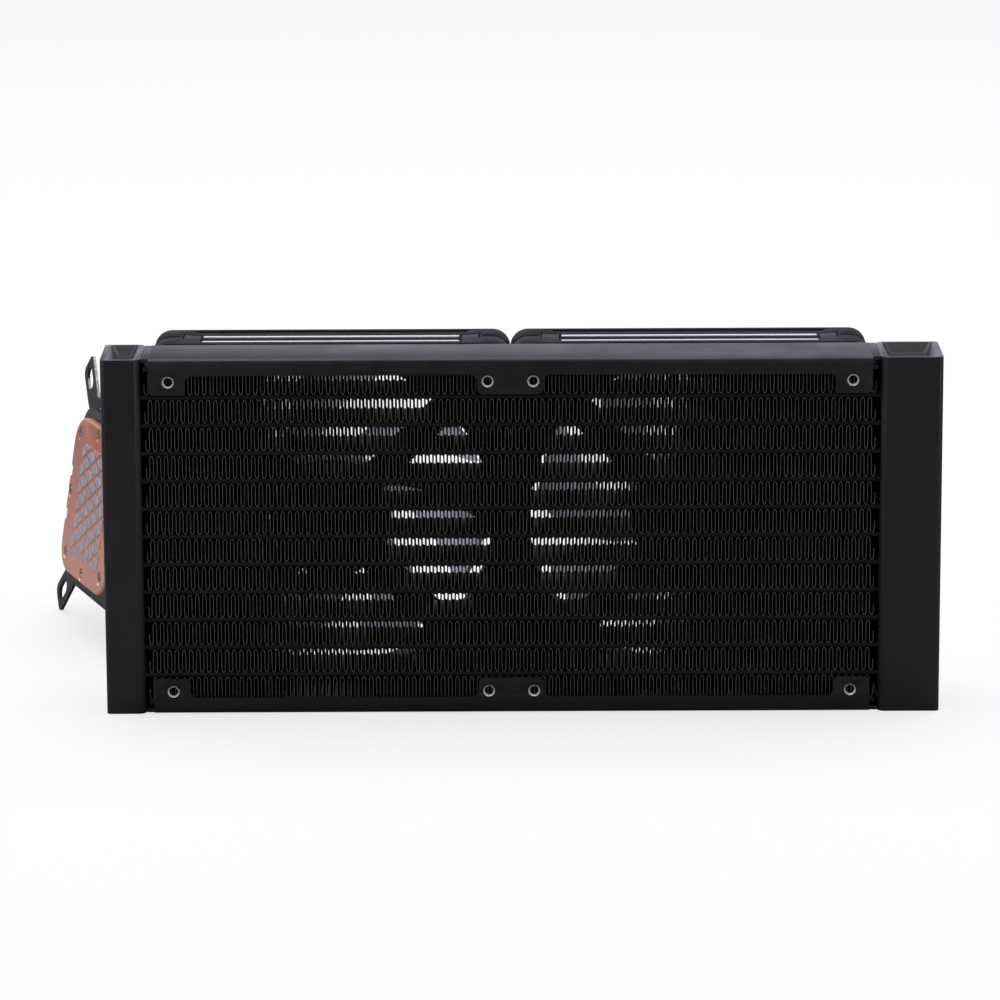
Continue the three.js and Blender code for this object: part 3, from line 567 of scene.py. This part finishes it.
def fin_row(k):
    """One folded strip: straight legs joined by round crests, a little uneven as a folded sheet is."""
    rnd = random.Random(400 + k)
    zc = RAD_H / 2 + (k - 5.5) * TUBE_PITCH
    half = (TUBE_PITCH - 1.5) / 2 - 0.02
    t, rise, n = 0.16, 1.6, 201
    first, last = -120.5 + rnd.random() * 0.25, 120.1 - rnd.random() * 0.25
    legs = [first + (last - first) * i / n + rnd.gauss(0, 0.03) for i in range(n + 1)]
    line = []
    for i in range(n):
        a, b = legs[i], legs[i + 1]
        r, mid = (b - a) / 2, (a + b) / 2
        up = 1 if i % 2 else -1
        line.append((a + rnd.gauss(0, 0.02), zc))
        c = zc + up * (half - t / 2 - rise)
        for q in range(11):
            w = math.pi - math.pi * q / 10
            line.append((mid + r * math.copysign(abs(math.cos(w)) ** 0.9, math.cos(w)), c + up * rise * math.sin(w)))
    line.append((legs[-1], zc))
    pts = np.array(line)
    d = np.gradient(pts, axis=0)
    d /= np.linalg.norm(d, axis=1)[:, None]
    nrm = np.stack([-d[:, 1], d[:, 0]], 1)
    A, B = pts + nrm * t / 2, pts - nrm * t / 2
    m = len(pts)
    # the strip sits very slightly askew between the tubes
    skew = 0.08
    verts = []
    for P in (A, B):
        for y, dx in ((-11.7, skew), (11.7, -skew)):
            verts += [(max(-121.55, min(121.55, p[0] + dx)), y, p[1]) for p in P]
    a0, a1, b0, b1 = 0, m, 2 * m, 3 * m
    faces = []
    for i in range(m - 1):
        faces += [(a0 + i, a0 + i + 1, a1 + i + 1, a1 + i), (b0 + i + 1, b0 + i, b1 + i, b1 + i + 1),
                  (a0 + i + 1, a0 + i, b0 + i, b0 + i + 1), (a1 + i, a1 + i + 1, b1 + i + 1, b1 + i)]
    faces += [(a0, a1, b1, b0), (a0 + m - 1, b0 + m - 1, b1 + m - 1, a1 + m - 1)]
    # each leg is pierced into louvres, which stand out to both sides of the sheet
    for x in legs[1:-1]:
        w, k0 = 0.235 + rnd.gauss(0, 0.02), len(verts)
        for y in (-8.8, 8.8):
            sx = x - skew * y / 11.7
            verts += [(sx - w, y, zc - 2.9), (sx + w, y, zc - 2.9), (sx + w, y, zc + 2.9), (sx - w, y, zc + 2.9)]
        faces += [(k0, k0 + 1, k0 + 2, k0 + 3), (k0 + 7, k0 + 6, k0 + 5, k0 + 4)]
        faces += [(k0 + i, k0 + 4 + i, k0 + 4 + (i + 1) % 4, k0 + (i + 1) % 4) for i in range(4)]
    # its two tails are folded against the header plates, deep inside the core
    for xa, xb in ((-121.5, first + 0.2), (last - 0.2, 121.5)):
        k0 = len(verts)
        for y in (1.0, 11.6):
            verts += [(xa, y, zc - half), (xb, y, zc - half), (xb, y, zc + half), (xa, y, zc + half)]
        faces += [(k0, k0 + 1, k0 + 2, k0 + 3), (k0 + 7, k0 + 6, k0 + 5, k0 + 4)]
        faces += [(k0 + i, k0 + 4 + i, k0 + 4 + (i + 1) % 4, k0 + (i + 1) % 4) for i in range(4)]
    s = mesh_obj("tmp", verts, faces)
    s.data.shade_smooth()
    s.data.set_sharp_from_angle(angle=math.radians(50))
    return place(s, f"fins_{k + 1:02d}", "root", [M_FIN, M_TUBE], [f"fin_row_{k + 1:02d}"],
                 pick=lambda c, n: 1 if (8 < abs(c.y) < 9 or 0.9 < c.y < 1.1) and abs(n.y) > 0.9 else 0)


for k in range(12):
    fin_row(k)

# =============================================================== fans
Y0, Y1 = H + 0.3, H + 25.3


def side_frames():
    """(tangent direction, outward direction) of the four sides in x, z."""
    return [((1, 0), (0, 1)), ((0, -1), (1, 0)), ((-1, 0), (0, -1)), ((0, 1), (-1, 0))]


def side_prism(cx, outline, d0, d1, t, n):
    """Outline in (along the side, y), from distance d0 to d1 out of the fan axis."""
    m = len(outline)
    def at(p, d):
        return (cx + t[0] * p[0] + n[0] * d, p[1], 60 + t[1] * p[0] + n[1] * d)
    verts = [at(p, d0) for p in outline] + [at(p, d1) for p in outline]
    faces = [list(range(m)), list(range(2 * m - 1, m - 1, -1))] + [[i, (i + 1) % m, m + (i + 1) % m, m + i] for i in range(m)]
    return mesh_obj("tmp", verts, faces)


TAB = [(-49.5, 22.8), (-49.3, 30.6), (-43.6, 28.3), (-43.6, 17.2), (-44.8, 17.2)]
DUCT_R, LIP_R = 54.4, 53.8
# leads run from the motor to the side in a wider, bent strut; (x, z) from the fan axis
LEAD_STRUT = [(14, 11.4), (23.9, 11.2), (33.6, 9.0), (41.5, 5.5), (47.7, 0.6), (55.3, -8.0), (55.3, 14.0), (47.7, 15.5), (36, 17.2), (26, 18.3), (14, 17)]


def fan_frame(cx, side):
    w = 59.995
    sq = lambda h, r, a, b: prism(rect(cx - h, 60 - h, cx + h, 60 + h, r, 12), a, b, "Y")
    s = sq(w, 6.0, Y0, Y1)
    cutters = [turned([(0, Y0 - 1), (LIP_R + 0.6, Y0 - 1), (LIP_R + 0.6, Y0), (LIP_R, Y0 + 0.6), (LIP_R, Y0 + 3.4), (DUCT_R, Y0 + 4.4), (DUCT_R, Y1 - 6.0), (DUCT_R + 0.5, Y1 - 3.8), (DUCT_R + 1.6, Y1 - 1.6), (DUCT_R + 3.2, Y1), (DUCT_R + 3.2, Y1 + 1), (0, Y1 + 1)], (0, 1, 0), (cx, 0, 60), 160)]
    for a in (-1, 1):
        for b in (-1, 1):
            cutters.append(turned([(0, Y0 - 1), (2.2, Y0 - 1), (2.2, Y1 - 0.5), (2.7, Y1 + 0.1), (2.7, Y1 + 1), (0, Y1 + 1)], (0, 1, 0), (cx + a * 52.5, 0, 60 + b * 52.5), 32))
    s = cut(s, *cutters)
    cutters = []
    for t, n in side_frames():
        # long shallow channels between the corner tabs
        cutters.append(side_prism(cx, rounded([(-43.2, 17.4, 0.4), (43.2, 17.4, 0.4), (43.2, 28.3, 0.4), (-43.2, 28.3, 0.4)], 3), w - 0.55, w + 1, t, n))
        cutters.append(side_prism(cx, rounded([(-44.0, 30.6, 0.4), (44.0, 30.6, 0.4), (46.5, 36.2, 0.6), (-46.5, 36.2, 0.6)], 3), w - 0.4, w + 1, t, n))
        for q in (-1, 1):
            o = [(q * a, b) for a, b in TAB]
            cxx = sum(p[0] for p in o) / 5
            cyy = sum(p[1] for p in o) / 5
            grown = [(p[0] + (p[0] - cxx) * 0.10, p[1] + (p[1] - cyy) * 0.05) for p in o]
            cutters.append(side_prism(cx, grown, w - 0.8, w + 1, t, n))
    s = cut(s, *cutters)
    # seam line at mid depth around each corner
    ring = sq(61.0, 6.6, 25.5, 26.9)
    ring = cut(ring, sq(w - 0.8, 5.4, 25, 28), *[prism(rect(cx - hx, 60 - hz, cx + hx, 60 + hz), 25, 28, "Y") for hx, hz in ((50.6, 70), (70, 50.6))])
    s = cut(s, ring)
    # motor base, struts and bearing tube
    base = turned([(0, Y0 + 0.4), (19.6, Y0 + 0.4), (20, Y0 + 0.8), (20, Y0 + 2.2), (19.6, Y0 + 2.6), (5.0, Y0 + 2.6), (5.0, Y0 + 19.4), (4.8, Y0 + 19.6), (0, Y0 + 19.6)], (0, 1, 0), (cx, 0, 60), 96)
    bars = []
    for k in range(4):
        th = math.pi / 4 + k * math.pi / 2
        c, sn = math.cos(th), math.sin(th)
        bar = [(15, -4.8), (55.5, -4.8), (55.5, 4.8), (15, 4.8)]
        bars.append(prism([(cx + a * c - b * sn, 60 + a * sn + b * c) for a, b in bar], Y0 + 0.4, Y0 + 3.2, "Y"))
    bars.append(prism([(cx + a, 60 + b) for a, b in LEAD_STRUT], Y0 + 0.5, Y0 + 3.1, "Y"))
    s = join(s, base, *bars)
    s = cut(s, rod(1.9, Y0 - 1, Y0 + 21, (0, 1, 0), (cx, 0, 60), 32))
    tidy(s, 0.2, 2, 38, 38)
    place(s, f"fan_{side}_frame_shell", "root", [M_FRAME], [f"fan_{side}_frame"])
    pads = []
    for t, n in side_frames():
        for q in (-1, 1):
            pads.append(side_prism(cx, [(q * a, b) for a, b in TAB], w - 0.75, w - 0.05, t, n))
    p = joined(pads)
    tidy(p, 0.2, 2, 35, 35)
    place(p, f"fan_{side}_corner_pads", "root", [M_FRAME_DARK], [])
    # painted highlight: two light strips along each side channel stand in for the light caught by the channel's edges
    lines = []
    for t, n in side_frames():
        lines.append(side_prism(cx, rounded([(-42.9, 17.7, 0.5), (42.9, 17.7, 0.5), (42.9, 19.5, 0.5), (-42.9, 19.5, 0.5)], 3), w - 0.53, w - 0.05, t, n))
        lines.append(side_prism(cx, rounded([(-42.9, 26.0, 0.5), (42.9, 26.0, 0.5), (42.9, 28.0, 0.5), (-42.9, 28.0, 0.5)], 3), w - 0.53, w - 0.05, t, n))
    a = joined(lines)
    tidy(a, 0.15, 2, 35, 35)
    place(a, f"fan_{side}_painted_highlight_strips", "root", [M_FAN_EDGE_HIGHLIGHT], [])


def blade(cx, phase):
    """Swept blade: angle covered, height between edges and sweep follow the radius."""
    hub, tip = 19.5, 51.3
    rs = np.linspace(18.7, tip, 16)
    nc = 16
    yc = Y0 + 15.68
    rings = []
    for r in rs:
        t = (r - hub) / (tip - hub)
        span = 0.381 + (0.522 - 0.381) * t + 0.356 * t * (1 - t)
        skew = -0.755 * t + 0.091 * t * t
        # the outer corners are rounded a little
        trim = 1.0 - 0.10 * max(0.0, (t - 0.9) / 0.1) ** 2
        top, low = [], []
        for i in range(nc + 1):
            c = (0.5 - 0.5 * math.cos(math.pi * i / nc)) - 0.5
            a = phase + skew + c * span * trim
            y = yc - c * 13.53 * trim + 3.25 * (0.25 - c * c)
            h = 0.10 + (0.85 - 0.30 * max(0, t)) * math.sqrt(max(0, 1 - 4 * c * c))
            top.append((cx + r * math.cos(a), y + h, 60 + r * math.sin(a)))
            low.append((cx + r * math.cos(a), y - h, 60 + r * math.sin(a)))
        rings.append(top + low[::-1])
    return loft(rings)


def fan_rotor(cx, side):
    y0, y1 = Y0 + 5.2, Y0 + 22.8
    prof = [(17.6, y0), (19.3, y0), (19.5, y0 + 0.2)] + [(19.5 - 2.2 + 2.2 * math.cos(math.radians(a)), y1 - 2.2 + 2.2 * math.sin(math.radians(a))) for a in range(0, 91, 10)]
    prof += [(15.6, y1), (15.3, y1 - 0.35), (14.9, y1 - 0.35), (14.6, y1), (0, y1), (0, y1 - 1.8), (17.6, y1 - 1.8)]
    hub = turned([(0, y1 - 1.8), (17.6, y1 - 1.8), (17.6, y0)] + prof[1:-2], (0, 1, 0), (cx, 0, 60), 128)
    s = join(hub, *[blade(cx, 2 * math.pi * k / 7 + {"left": 0.297, "right": 0.769}[side]) for k in range(7)])
    tidy(s, 0, smooth=42)
    place(s, f"fan_{side}_impeller_blades", f"fan_{side}", [M_ROTOR], [f"fan_{side}_rotor"])


for side, cx in (("left", -60.0), ("right", 60.0)):
    fan_frame(cx, side)
    fan_rotor(cx, side)


def cross_recess(at, axis, r, depth, turn=0.3):
    """Two crossed slots that narrow with depth, for a Phillips recess. axis points into the head."""
    ax = Vector(axis).normalized()
    u = ax.orthogonal().normalized()
    w = ax.cross(u)
    u, w = u * math.cos(turn) + w * math.sin(turn), -u * math.sin(turn) + w * math.cos(turn)
    out = []
    for a, b in ((u, w), (w, u)):
        rings = []
        for h, k in ((-0.3, 1.0), (depth, 0.45)):
            L, W = r * k, r * 0.24 * (0.6 + 0.4 * k)
            rings.append([Vector(at) + ax * h + a * sx * L + b * sy * W for sx, sy in ((-1, -1), (1, -1), (1, 1), (-1, 1))])
        out.append(loft(rings))
    return out


n = 0
for z in (7.5, 112.5):
    for x in (-112.5, -7.5, 7.5, 112.5):
        n += 1
        yh = Y1 + 0.3
        prof = [(0, 11.2), (0.9, 11.2), (1.25, 11.6)]
        y = 11.8
        while y < 14.0:
            prof += [(1.25, y), (1.08, y + 0.25)]
            y += 0.5
        prof += [(1.45, 14.3), (1.45, yh), (3.1, yh), (3.3, yh + 0.2), (3.25, yh + 0.9)] + [(3.2 * math.cos(math.radians(a)), yh + 0.9 + 1.1 * math.sin(math.radians(a))) for a in (25, 45, 65, 80)] + [(0, yh + 2.0)]
        s = turned(prof, (0, 1, 0), (x, 0, z), 40)
        s = cut(s, *cross_recess((x, yh + 2.0, z), (0, -1, 0), 1.9, 1.2, 0.3 + n))
        tidy(s, 0, smooth=32)
        place(s, f"fan_long_screw_{n}", "root", [M_SCREW], [f"fan_screw_{n}"])

# =============================================================== pump and cold-plate head
def head_matrix():
    yaw, pitch, roll = (math.radians(a) for a in (20.49, 8.82, -0.17))
    base = Matrix(((0, 0, -1), (-1, 0, 0), (0, 1, 0)))
    m = Matrix.Rotation(yaw, 3, "Z") @ Matrix.Rotation(pitch, 3, "Y") @ base @ Matrix.Rotation(roll, 3, "Z")
    m = m.to_4x4()
    m.translation = Vector((-147.88, 90.45, 47.31))
    return m


HM = head_matrix()
W = (0, 0, 1)
PLATE_T = 3.0
BZ = -6.35          # front face of the bracket

# copper plate with a chamfered rim, screw recesses and the fin block on its wet side
PLATE_SCREWS = [(-21.5, 21.5), (21.5, 21.5), (-21.5, -21.5), (21.5, -21.5), (0, 25.0), (0, -25.0), (-25.0, 0), (25.0, 0)]


def plate_outline(g):
    """Rounded rectangle, inset by g, with two small notches in each short side."""
    U, V, r = 27.8 - g, 27.9 - g, 10.5 - g
    left = [(-U, V - r, 0)]
    for v in (7.3, -8.4):
        left += [(-U, v + 2.2, 0.4), (-U + 1.7, v + 1.5, 0.6), (-U + 1.7, v - 1.5, 0.6), (-U, v - 2.2, 0.4)]
    pts = rounded([(-U, -V, r), (U, -V, r), (U, V, r), (-U, V, r)], 12)
    # pts runs lower left, lower right, upper right, upper left; the notches go into its closing side
    cut_in = rounded([(-U, 13, 0)] + left[1:] + [(-U, -13, 0)], 4)
    return pts + cut_in


plate = loft([[(p[0], p[1], w) for p in plate_outline(g)] for w, g in ((-PLATE_T, 0), (-0.85, 0), (-0.25, 0.35), (0.0, 0.8))])
plate = cut(plate, *[turned([(0, -2.3), (2.15, -2.3), (2.25, -0.25), (2.45, 0.0), (2.45, 1.0), (0, 1.0)], W, (u, v, 0), 40) for u, v in PLATE_SCREWS])
plate = join(plate, *[prism(rect(-13, i * 1.0 - 0.22, 13, i * 1.0 + 0.22), -PLATE_T - 3, -PLATE_T + 0.5, "Z") for i in range(-13, 14)])
tidy(plate, 0.12, 2, 30, 30)
place(plate, "cold_plate_copper", "root", [M_COPPER], ["cold_plate"], HM)

heads = []
for i, (u, v) in enumerate(PLATE_SCREWS):
    s = turned([(0, -2.25), (1.6, -2.25), (1.8, -1.2), (2.1, -0.85), (2.1, -0.6)] + [(2.05 * math.cos(math.radians(a)), -0.6 + 0.35 * math.sin(math.radians(a))) for a in (30, 60)] + [(0, -0.25)], W, (u, v, 0), 32)
    s = cut(s, *cross_recess((u, v, -0.25), (0, 0, -1), 1.3, 0.9, 0.4 + 1.3 * i))
    tidy(s, 0, smooth=35)
    heads.append(s)
place(joined(heads), "cold_plate_screws", "root", [M_SILVER], [], HM)

# thermal paste: printed diamonds, each split in two
def paste():
    U0, U1, V0, V1 = -15.6, 18.2, -19.6, 19.6
    verts, faces = [], []
    rnd = random.Random(7)

    def clip(poly):
        for axis, sgn, lim in ((0, 1, U1), (0, -1, -U0), (1, 1, V1), (1, -1, -V0)):
            out = []
            for i in range(len(poly)):
                a, b = poly[i], poly[(i + 1) % len(poly)]
                ia, ib = sgn * a[axis] <= lim + 1e-9, sgn * b[axis] <= lim + 1e-9
                if ia:
                    out.append(a)
                if ia != ib:
                    k = (sgn * lim - a[axis]) / (b[axis] - a[axis])
                    out.append((a[0] + (b[0] - a[0]) * k, a[1] + (b[1] - a[1]) * k))
            poly = [p for i, p in enumerate(out) if math.dist(p, out[i - 1]) > 1e-6]
            if len(poly) < 3:
                return []
        return poly

    def soften(poly, r=0.28):
        """Cuts each corner short, as printed paste rounds off."""
        out = []
        for i, p in enumerate(poly):
            for q in (poly[i - 1], poly[(i + 1) % len(poly)]):
                d = math.dist(p, q)
                k = min(0.3, r / d)
                out.append((p[0] + (q[0] - p[0]) * k, p[1] + (q[1] - p[1]) * k))
        return out

    def blob(poly):
        area = abs(sum(poly[i][0] * poly[(i + 1) % len(poly)][1] - poly[(i + 1) % len(poly)][0] * poly[i][1] for i in range(len(poly)))) / 2
        if area < 0.6:
            return
        poly = soften(poly)
        c = (sum(p[0] for p in poly) / len(poly), sum(p[1] for p in poly) / len(poly))
        th = 0.24 + rnd.random() * 0.05
        rings = []
        for k, h in ((1.0, 0.02), (0.985, 0.6 * th), (0.93, 0.92 * th), (0.8, th)):
            rings.append([(c[0] + (p[0] - c[0]) * k, c[1] + (p[1] - c[1]) * k, h) for p in poly])
        m, base = len(poly), len(verts)
        for r in rings:
            verts.extend(r)
        for j in range(len(rings) - 1):
            for i in range(m):
                q = (i + 1) % m
                faces.append([base + j * m + i, base + j * m + q, base + (j + 1) * m + q, base + (j + 1) * m + i])
        faces.append([base + i for i in range(m)][::-1])
        faces.append([base + 3 * m + i for i in range(m)])

    L, h, s = 4.35, 2.4, 0.2          # half width, half height, half of the split
    for k in range(-1, 8):
        for j in range(-7, 8):
            if (k + j) % 2 == 0:
                continue
            cu, cv = -15.56 + 5.615 * k, 3.26 * j
            for sgn in (1, -1):
                # each half diamond keeps its outer point and a straight inner side
                k2 = 1 - s / L
                poly = clip([(cu + sgn * s, cv - h * k2), (cu + sgn * L, cv), (cu + sgn * s, cv + h * k2)])
                if len(poly) > 2:
                    blob(poly)
    return mesh_obj("tmp", verts, faces)


p = paste()
p.data.shade_smooth()
p.data.set_sharp_from_angle(angle=math.radians(50))
place(p, "thermal_paste_print", "root", [M_PASTE], ["thermal_paste"], HM)

# bracket: pressed sheet with four slotted ears, coated faces and bare cut edges
def bracket():
    b = prism(rect(-34.3, -34.1, 34.3, 34.1, 3, 6), BZ - 1, BZ, "Z")
    ears, holes = [], []
    for a in (-1, 1):
        for c in (-1, 1):
            ear = [(33, 26.4, 0), (37.8, 30.4, 3), (45.9, 38.4, 3.2), (46.6, 40.6, 3), (40.4, 46.8, 3), (38.3, 46.3, 3.2), (27.4, 34.7, 3), (25.5, 32.6, 0)]
            ears.append(prism(rounded([(a * p, c * q, r) for p, q, r in ear], 8), BZ - 1, BZ, "Z"))
            t = math.atan2(c, a)
            slot = [(1.75 + 2.6 * math.cos(q), 2.6 * math.sin(q)) for q in np.linspace(-math.pi / 2, math.pi / 2, 17)]
            slot += [(-1.75 + 2.6 * math.cos(q), 2.6 * math.sin(q)) for q in np.linspace(math.pi / 2, 1.5 * math.pi, 17)]
            holes.append(prism([(a * 38.68 + p * math.cos(t) - q * math.sin(t), c * 38.68 + p * math.sin(t) + q * math.cos(t)) for p, q in slot], BZ - 6, BZ + 6, "Z"))
    b = join(b, *ears)
    b = cut(b, prism(rect(-31.1, -31.1, 31.1, 31.1, 9, 8), BZ - 6, BZ + 6, "Z"), *holes)
    b.data.shade_smooth()
    b.data.set_sharp_from_angle(angle=math.radians(35))

    def bare(c, n):
        """The upper ear on the copper side is sheared bare along its inner edge; the rest is coated."""
        if c.x > -20 or c.y < 30 or abs(n.z) > 0.75 or n.x + n.y < 0.4:
            return 0
        slot_wall = math.hypot(c.x + 38.68, c.y - 38.68) < 4.6
        return 1 if (c.y - c.x < 78.2 if slot_wall else c.y + c.x > -1.5) else 0
    return place(b, "bracket_plate", "root", [M_BRACKET, M_CUT], ["mounting_bracket"], HM, pick=bare)


bracket()

# housing
ELV, ELW = 13.0, -24.0
shoulder = BZ - 1.3
h = join(
    prism(rect(-30.8, -30.8, 30.8, 30.8, 9, 12), shoulder - 1, -PLATE_T - 0.3, "Z"),
    turned([(0, -15), (33, -15), (33, shoulder - 0.5), (32.5, shoulder), (0, shoulder)], W, (0, 0, 0), 128),
    turned([(0, -44), (38.6, -44), (39, -43.6), (39, -31.0), (38.3, -30.6), (38.3, -29.4), (39, -29.0), (39, -16.5)] + [(36.5 + 2.5 * math.cos(math.radians(a)), -16.5 + 2.5 * math.sin(math.radians(a))) for a in range(10, 91, 10)] + [(0, -14)], W, (0, 0, 0), 160),
    *[turned([(0, 30), (7.6, 30), (7.6, 43.2), (7.1, 43.7), (0, 43.7)], (-1, 0, 0), (0, v, ELW), 64) for v in (-ELV, ELV)],
)
h = cut(h, rod(36.2, -46, -18, W, (0, 0, 0), 128), rod(24, -14.5, 1, W, (0, 0, 0), 96))
h = join(h, rod(10.6, -35.5, -17.5, W, (0, 0, 0), 64))
h = cut(h, rod(9.1, -34, -14, W, (0, 0, 0), 64), *[rod(4.3, 37.6, 46, (-1, 0, 0), (0, v, ELW), 40) for v in (-ELV, ELV)])
tidy(h, 0.25, 2, 45, 35)
place(h, "pump_housing_shell", "root", [M_PUMP], ["pump_housing"], HM)

# cover: turned rim, glossy recessed face
c = turned([(0, -50.0), (36.4, -50.0), (36.4, -44.3), (38.6, -44.3), (39, -44.7), (39, -50.6)] + [(37.0 + 2.0 * math.cos(math.radians(a)), -50.6 - 2.0 * math.sin(math.radians(a))) for a in range(15, 91, 15)] + [(34.2, -52.6), (33.7, -52.1), (33.3, -51.9), (0, -51.9)], W, (0, 0, 0), 160)
tidy(c, 0.15, 2, 40, 30)
rim = 33.6
place(c, "pump_cover_cap", "root", [M_PUMP, M_GLOSS], ["pump_cover"], HM,
      pick=lambda cc, nn: 1 if nn.z < -0.9 and math.hypot(cc.x, cc.y) < rim and cc.z < -51 else 0)

# swivel elbows
for name, v, body in (("elbow_upper", ELV, "elbow_upper_body"), ("elbow_lower", -ELV, "elbow_lower_body")):
    at = (0, v, ELW)
    e = turned([(0, 44), (6.4, 44), (6.4, 45.2), (6.8, 45.6), (6.8, 55.4), (6.5, 56.4), (5.6, 57), (0, 57)], (-1, 0, 0), at, 64)
    prof = [(0, 0), (5.6, 0), (5.6, 9.0), (5.2, 9.4)]
    for k in range(3):
        b = 11.0 + k * 4.2
        prof += [(5.2, b - 0.2), (6.5, b), (6.5, b + 0.5), (5.2, b + 3.4)]
    prof += [(5.2, 24.4), (4.7, 25), (0, 25)]
    e = join(e, turned(prof, (0, 0, -1), (-50.4, v, ELW), 64))
    e = cut(e, rod(3.6, 43, 52, (-1, 0, 0), at, 40), rod(3.5, 0, 26, (0, 0, -1), (-50.4, v, ELW), 40))
    tidy(e, 0.15, 2, 38, 32)
    place(e, name + "_fitting", body, [M_PUMP], [name], HM)

# =============================================================== CAD nodes that stay
keep = {"header_left": M_TUBE, "header_right": M_TUBE, "core_plate_top": M_BLACK, "core_plate_bottom": M_BLACK,
        "fan_left_shaft": M_STEEL, "fan_right_shaft": M_STEEL, "fan_left_stator": M_WIND, "fan_right_stator": M_WIND,
        "impeller": M_WHITE, "pump_shaft": M_CERAMIC, "pump_stator": M_WIND, "pump_pcb": M_PCB}
for node, m in keep.items():
    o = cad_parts[node]
    o.data.materials.clear()
    o.data.materials.append(m)

# =============================================================== floor and light
floor = mesh_obj("floor", [(-30, -30, 0), (30, -30, 0), (30, 30, 0), (-30, 30, 0)], [(0, 1, 2, 3)])
floor.location.z = -0.0002
m, nt, b, vec = nodes_of("pale_floor")
lp = nt.nodes.new("ShaderNodeLightPath")
pale = mix(nt, noise(nt, vec, 3, 3), (0.93, 0.93, 0.93), (0.95, 0.95, 0.95))
nt.links.new(mix(nt, lp.outputs["Is Camera Ray"], (0.34, 0.34, 0.34), pale), b.inputs["Base Color"])
b.inputs["Roughness"].default_value = 0.9
b.inputs["Specular IOR Level"].default_value = 0.0
glow = nt.nodes.new("ShaderNodeEmission")
glow.inputs["Strength"].default_value = 1.0
mx = nt.nodes.new("ShaderNodeMixShader")
nt.links.new(math_node(nt, "MULTIPLY", lp.outputs["Is Camera Ray"], 0.72), mx.inputs[0])
nt.links.new(b.outputs[0], mx.inputs[1])
nt.links.new(glow.outputs[0], mx.inputs[2])
nt.links.new(mx.outputs[0], nt.nodes["Material Output"].inputs["Surface"])
floor.data.materials.append(m)

world = bpy.data.worlds.new("studio")
scene.world = world
world.use_nodes = True
nt = world.node_tree
nt.nodes.clear()
wo = nt.nodes.new("ShaderNodeOutputWorld")
lp = nt.nodes.new("ShaderNodeLightPath")
bg1 = nt.nodes.new("ShaderNodeBackground")
bg2 = nt.nodes.new("ShaderNodeBackground")
mx = nt.nodes.new("ShaderNodeMixShader")
bg1.inputs["Strength"].default_value = 0.16
bg2.inputs["Strength"].default_value = 1.0
bg1.inputs["Color"].default_value = (1, 1, 1, 1)
bg2.inputs["Color"].default_value = (1, 1, 1, 1)
nt.links.new(lp.outputs["Is Camera Ray"], mx.inputs[0])
nt.links.new(bg1.outputs[0], mx.inputs[1])
nt.links.new(bg2.outputs[0], mx.inputs[2])
nt.links.new(mx.outputs[0], wo.inputs["Surface"])


def area(name, loc, target, size, power, color=(1, 1, 1)):
    d = bpy.data.lights.new(name, "AREA")
    d.shape, d.size, d.size_y, d.energy, d.color = "RECTANGLE", size[0], size[1], power, color
    o = bpy.data.objects.new(name, d)
    scene.collection.objects.link(o)
    o.location = loc
    o.rotation_mode = "QUATERNION"
    o.rotation_quaternion = (Vector(target) - Vector(loc)).to_track_quat("-Z", "Y")
    return o


area("key_top", (0.0, 0.5, 1.7), (0, 0.05, 0), (2.6, 1.8), 40)
area("back_low", (0.0, 2.6, 0.55), (0, 0, 0.1), (5.6, 0.9), 18, (0.94, 0.89, 1.16))
area("left_side", (-1.7, -0.1, 0.6), (-0.1, 0.05, 0.06), (0.9, 1.1), 5.6)
area("right_side", (1.7, -0.2, 0.6), (0.1, 0.0, 0.06), (0.9, 1.1), 4)
area("front_left_strip", (-1.2, -1.7, 0.5), (0.05, 0, 0.06), (0.22, 1.3), 3.8)
area("front_right_strip", (1.2, -1.7, 0.5), (-0.05, 0, 0.06), (0.22, 1.3), 4.8)

bpy.context.view_layer.update()
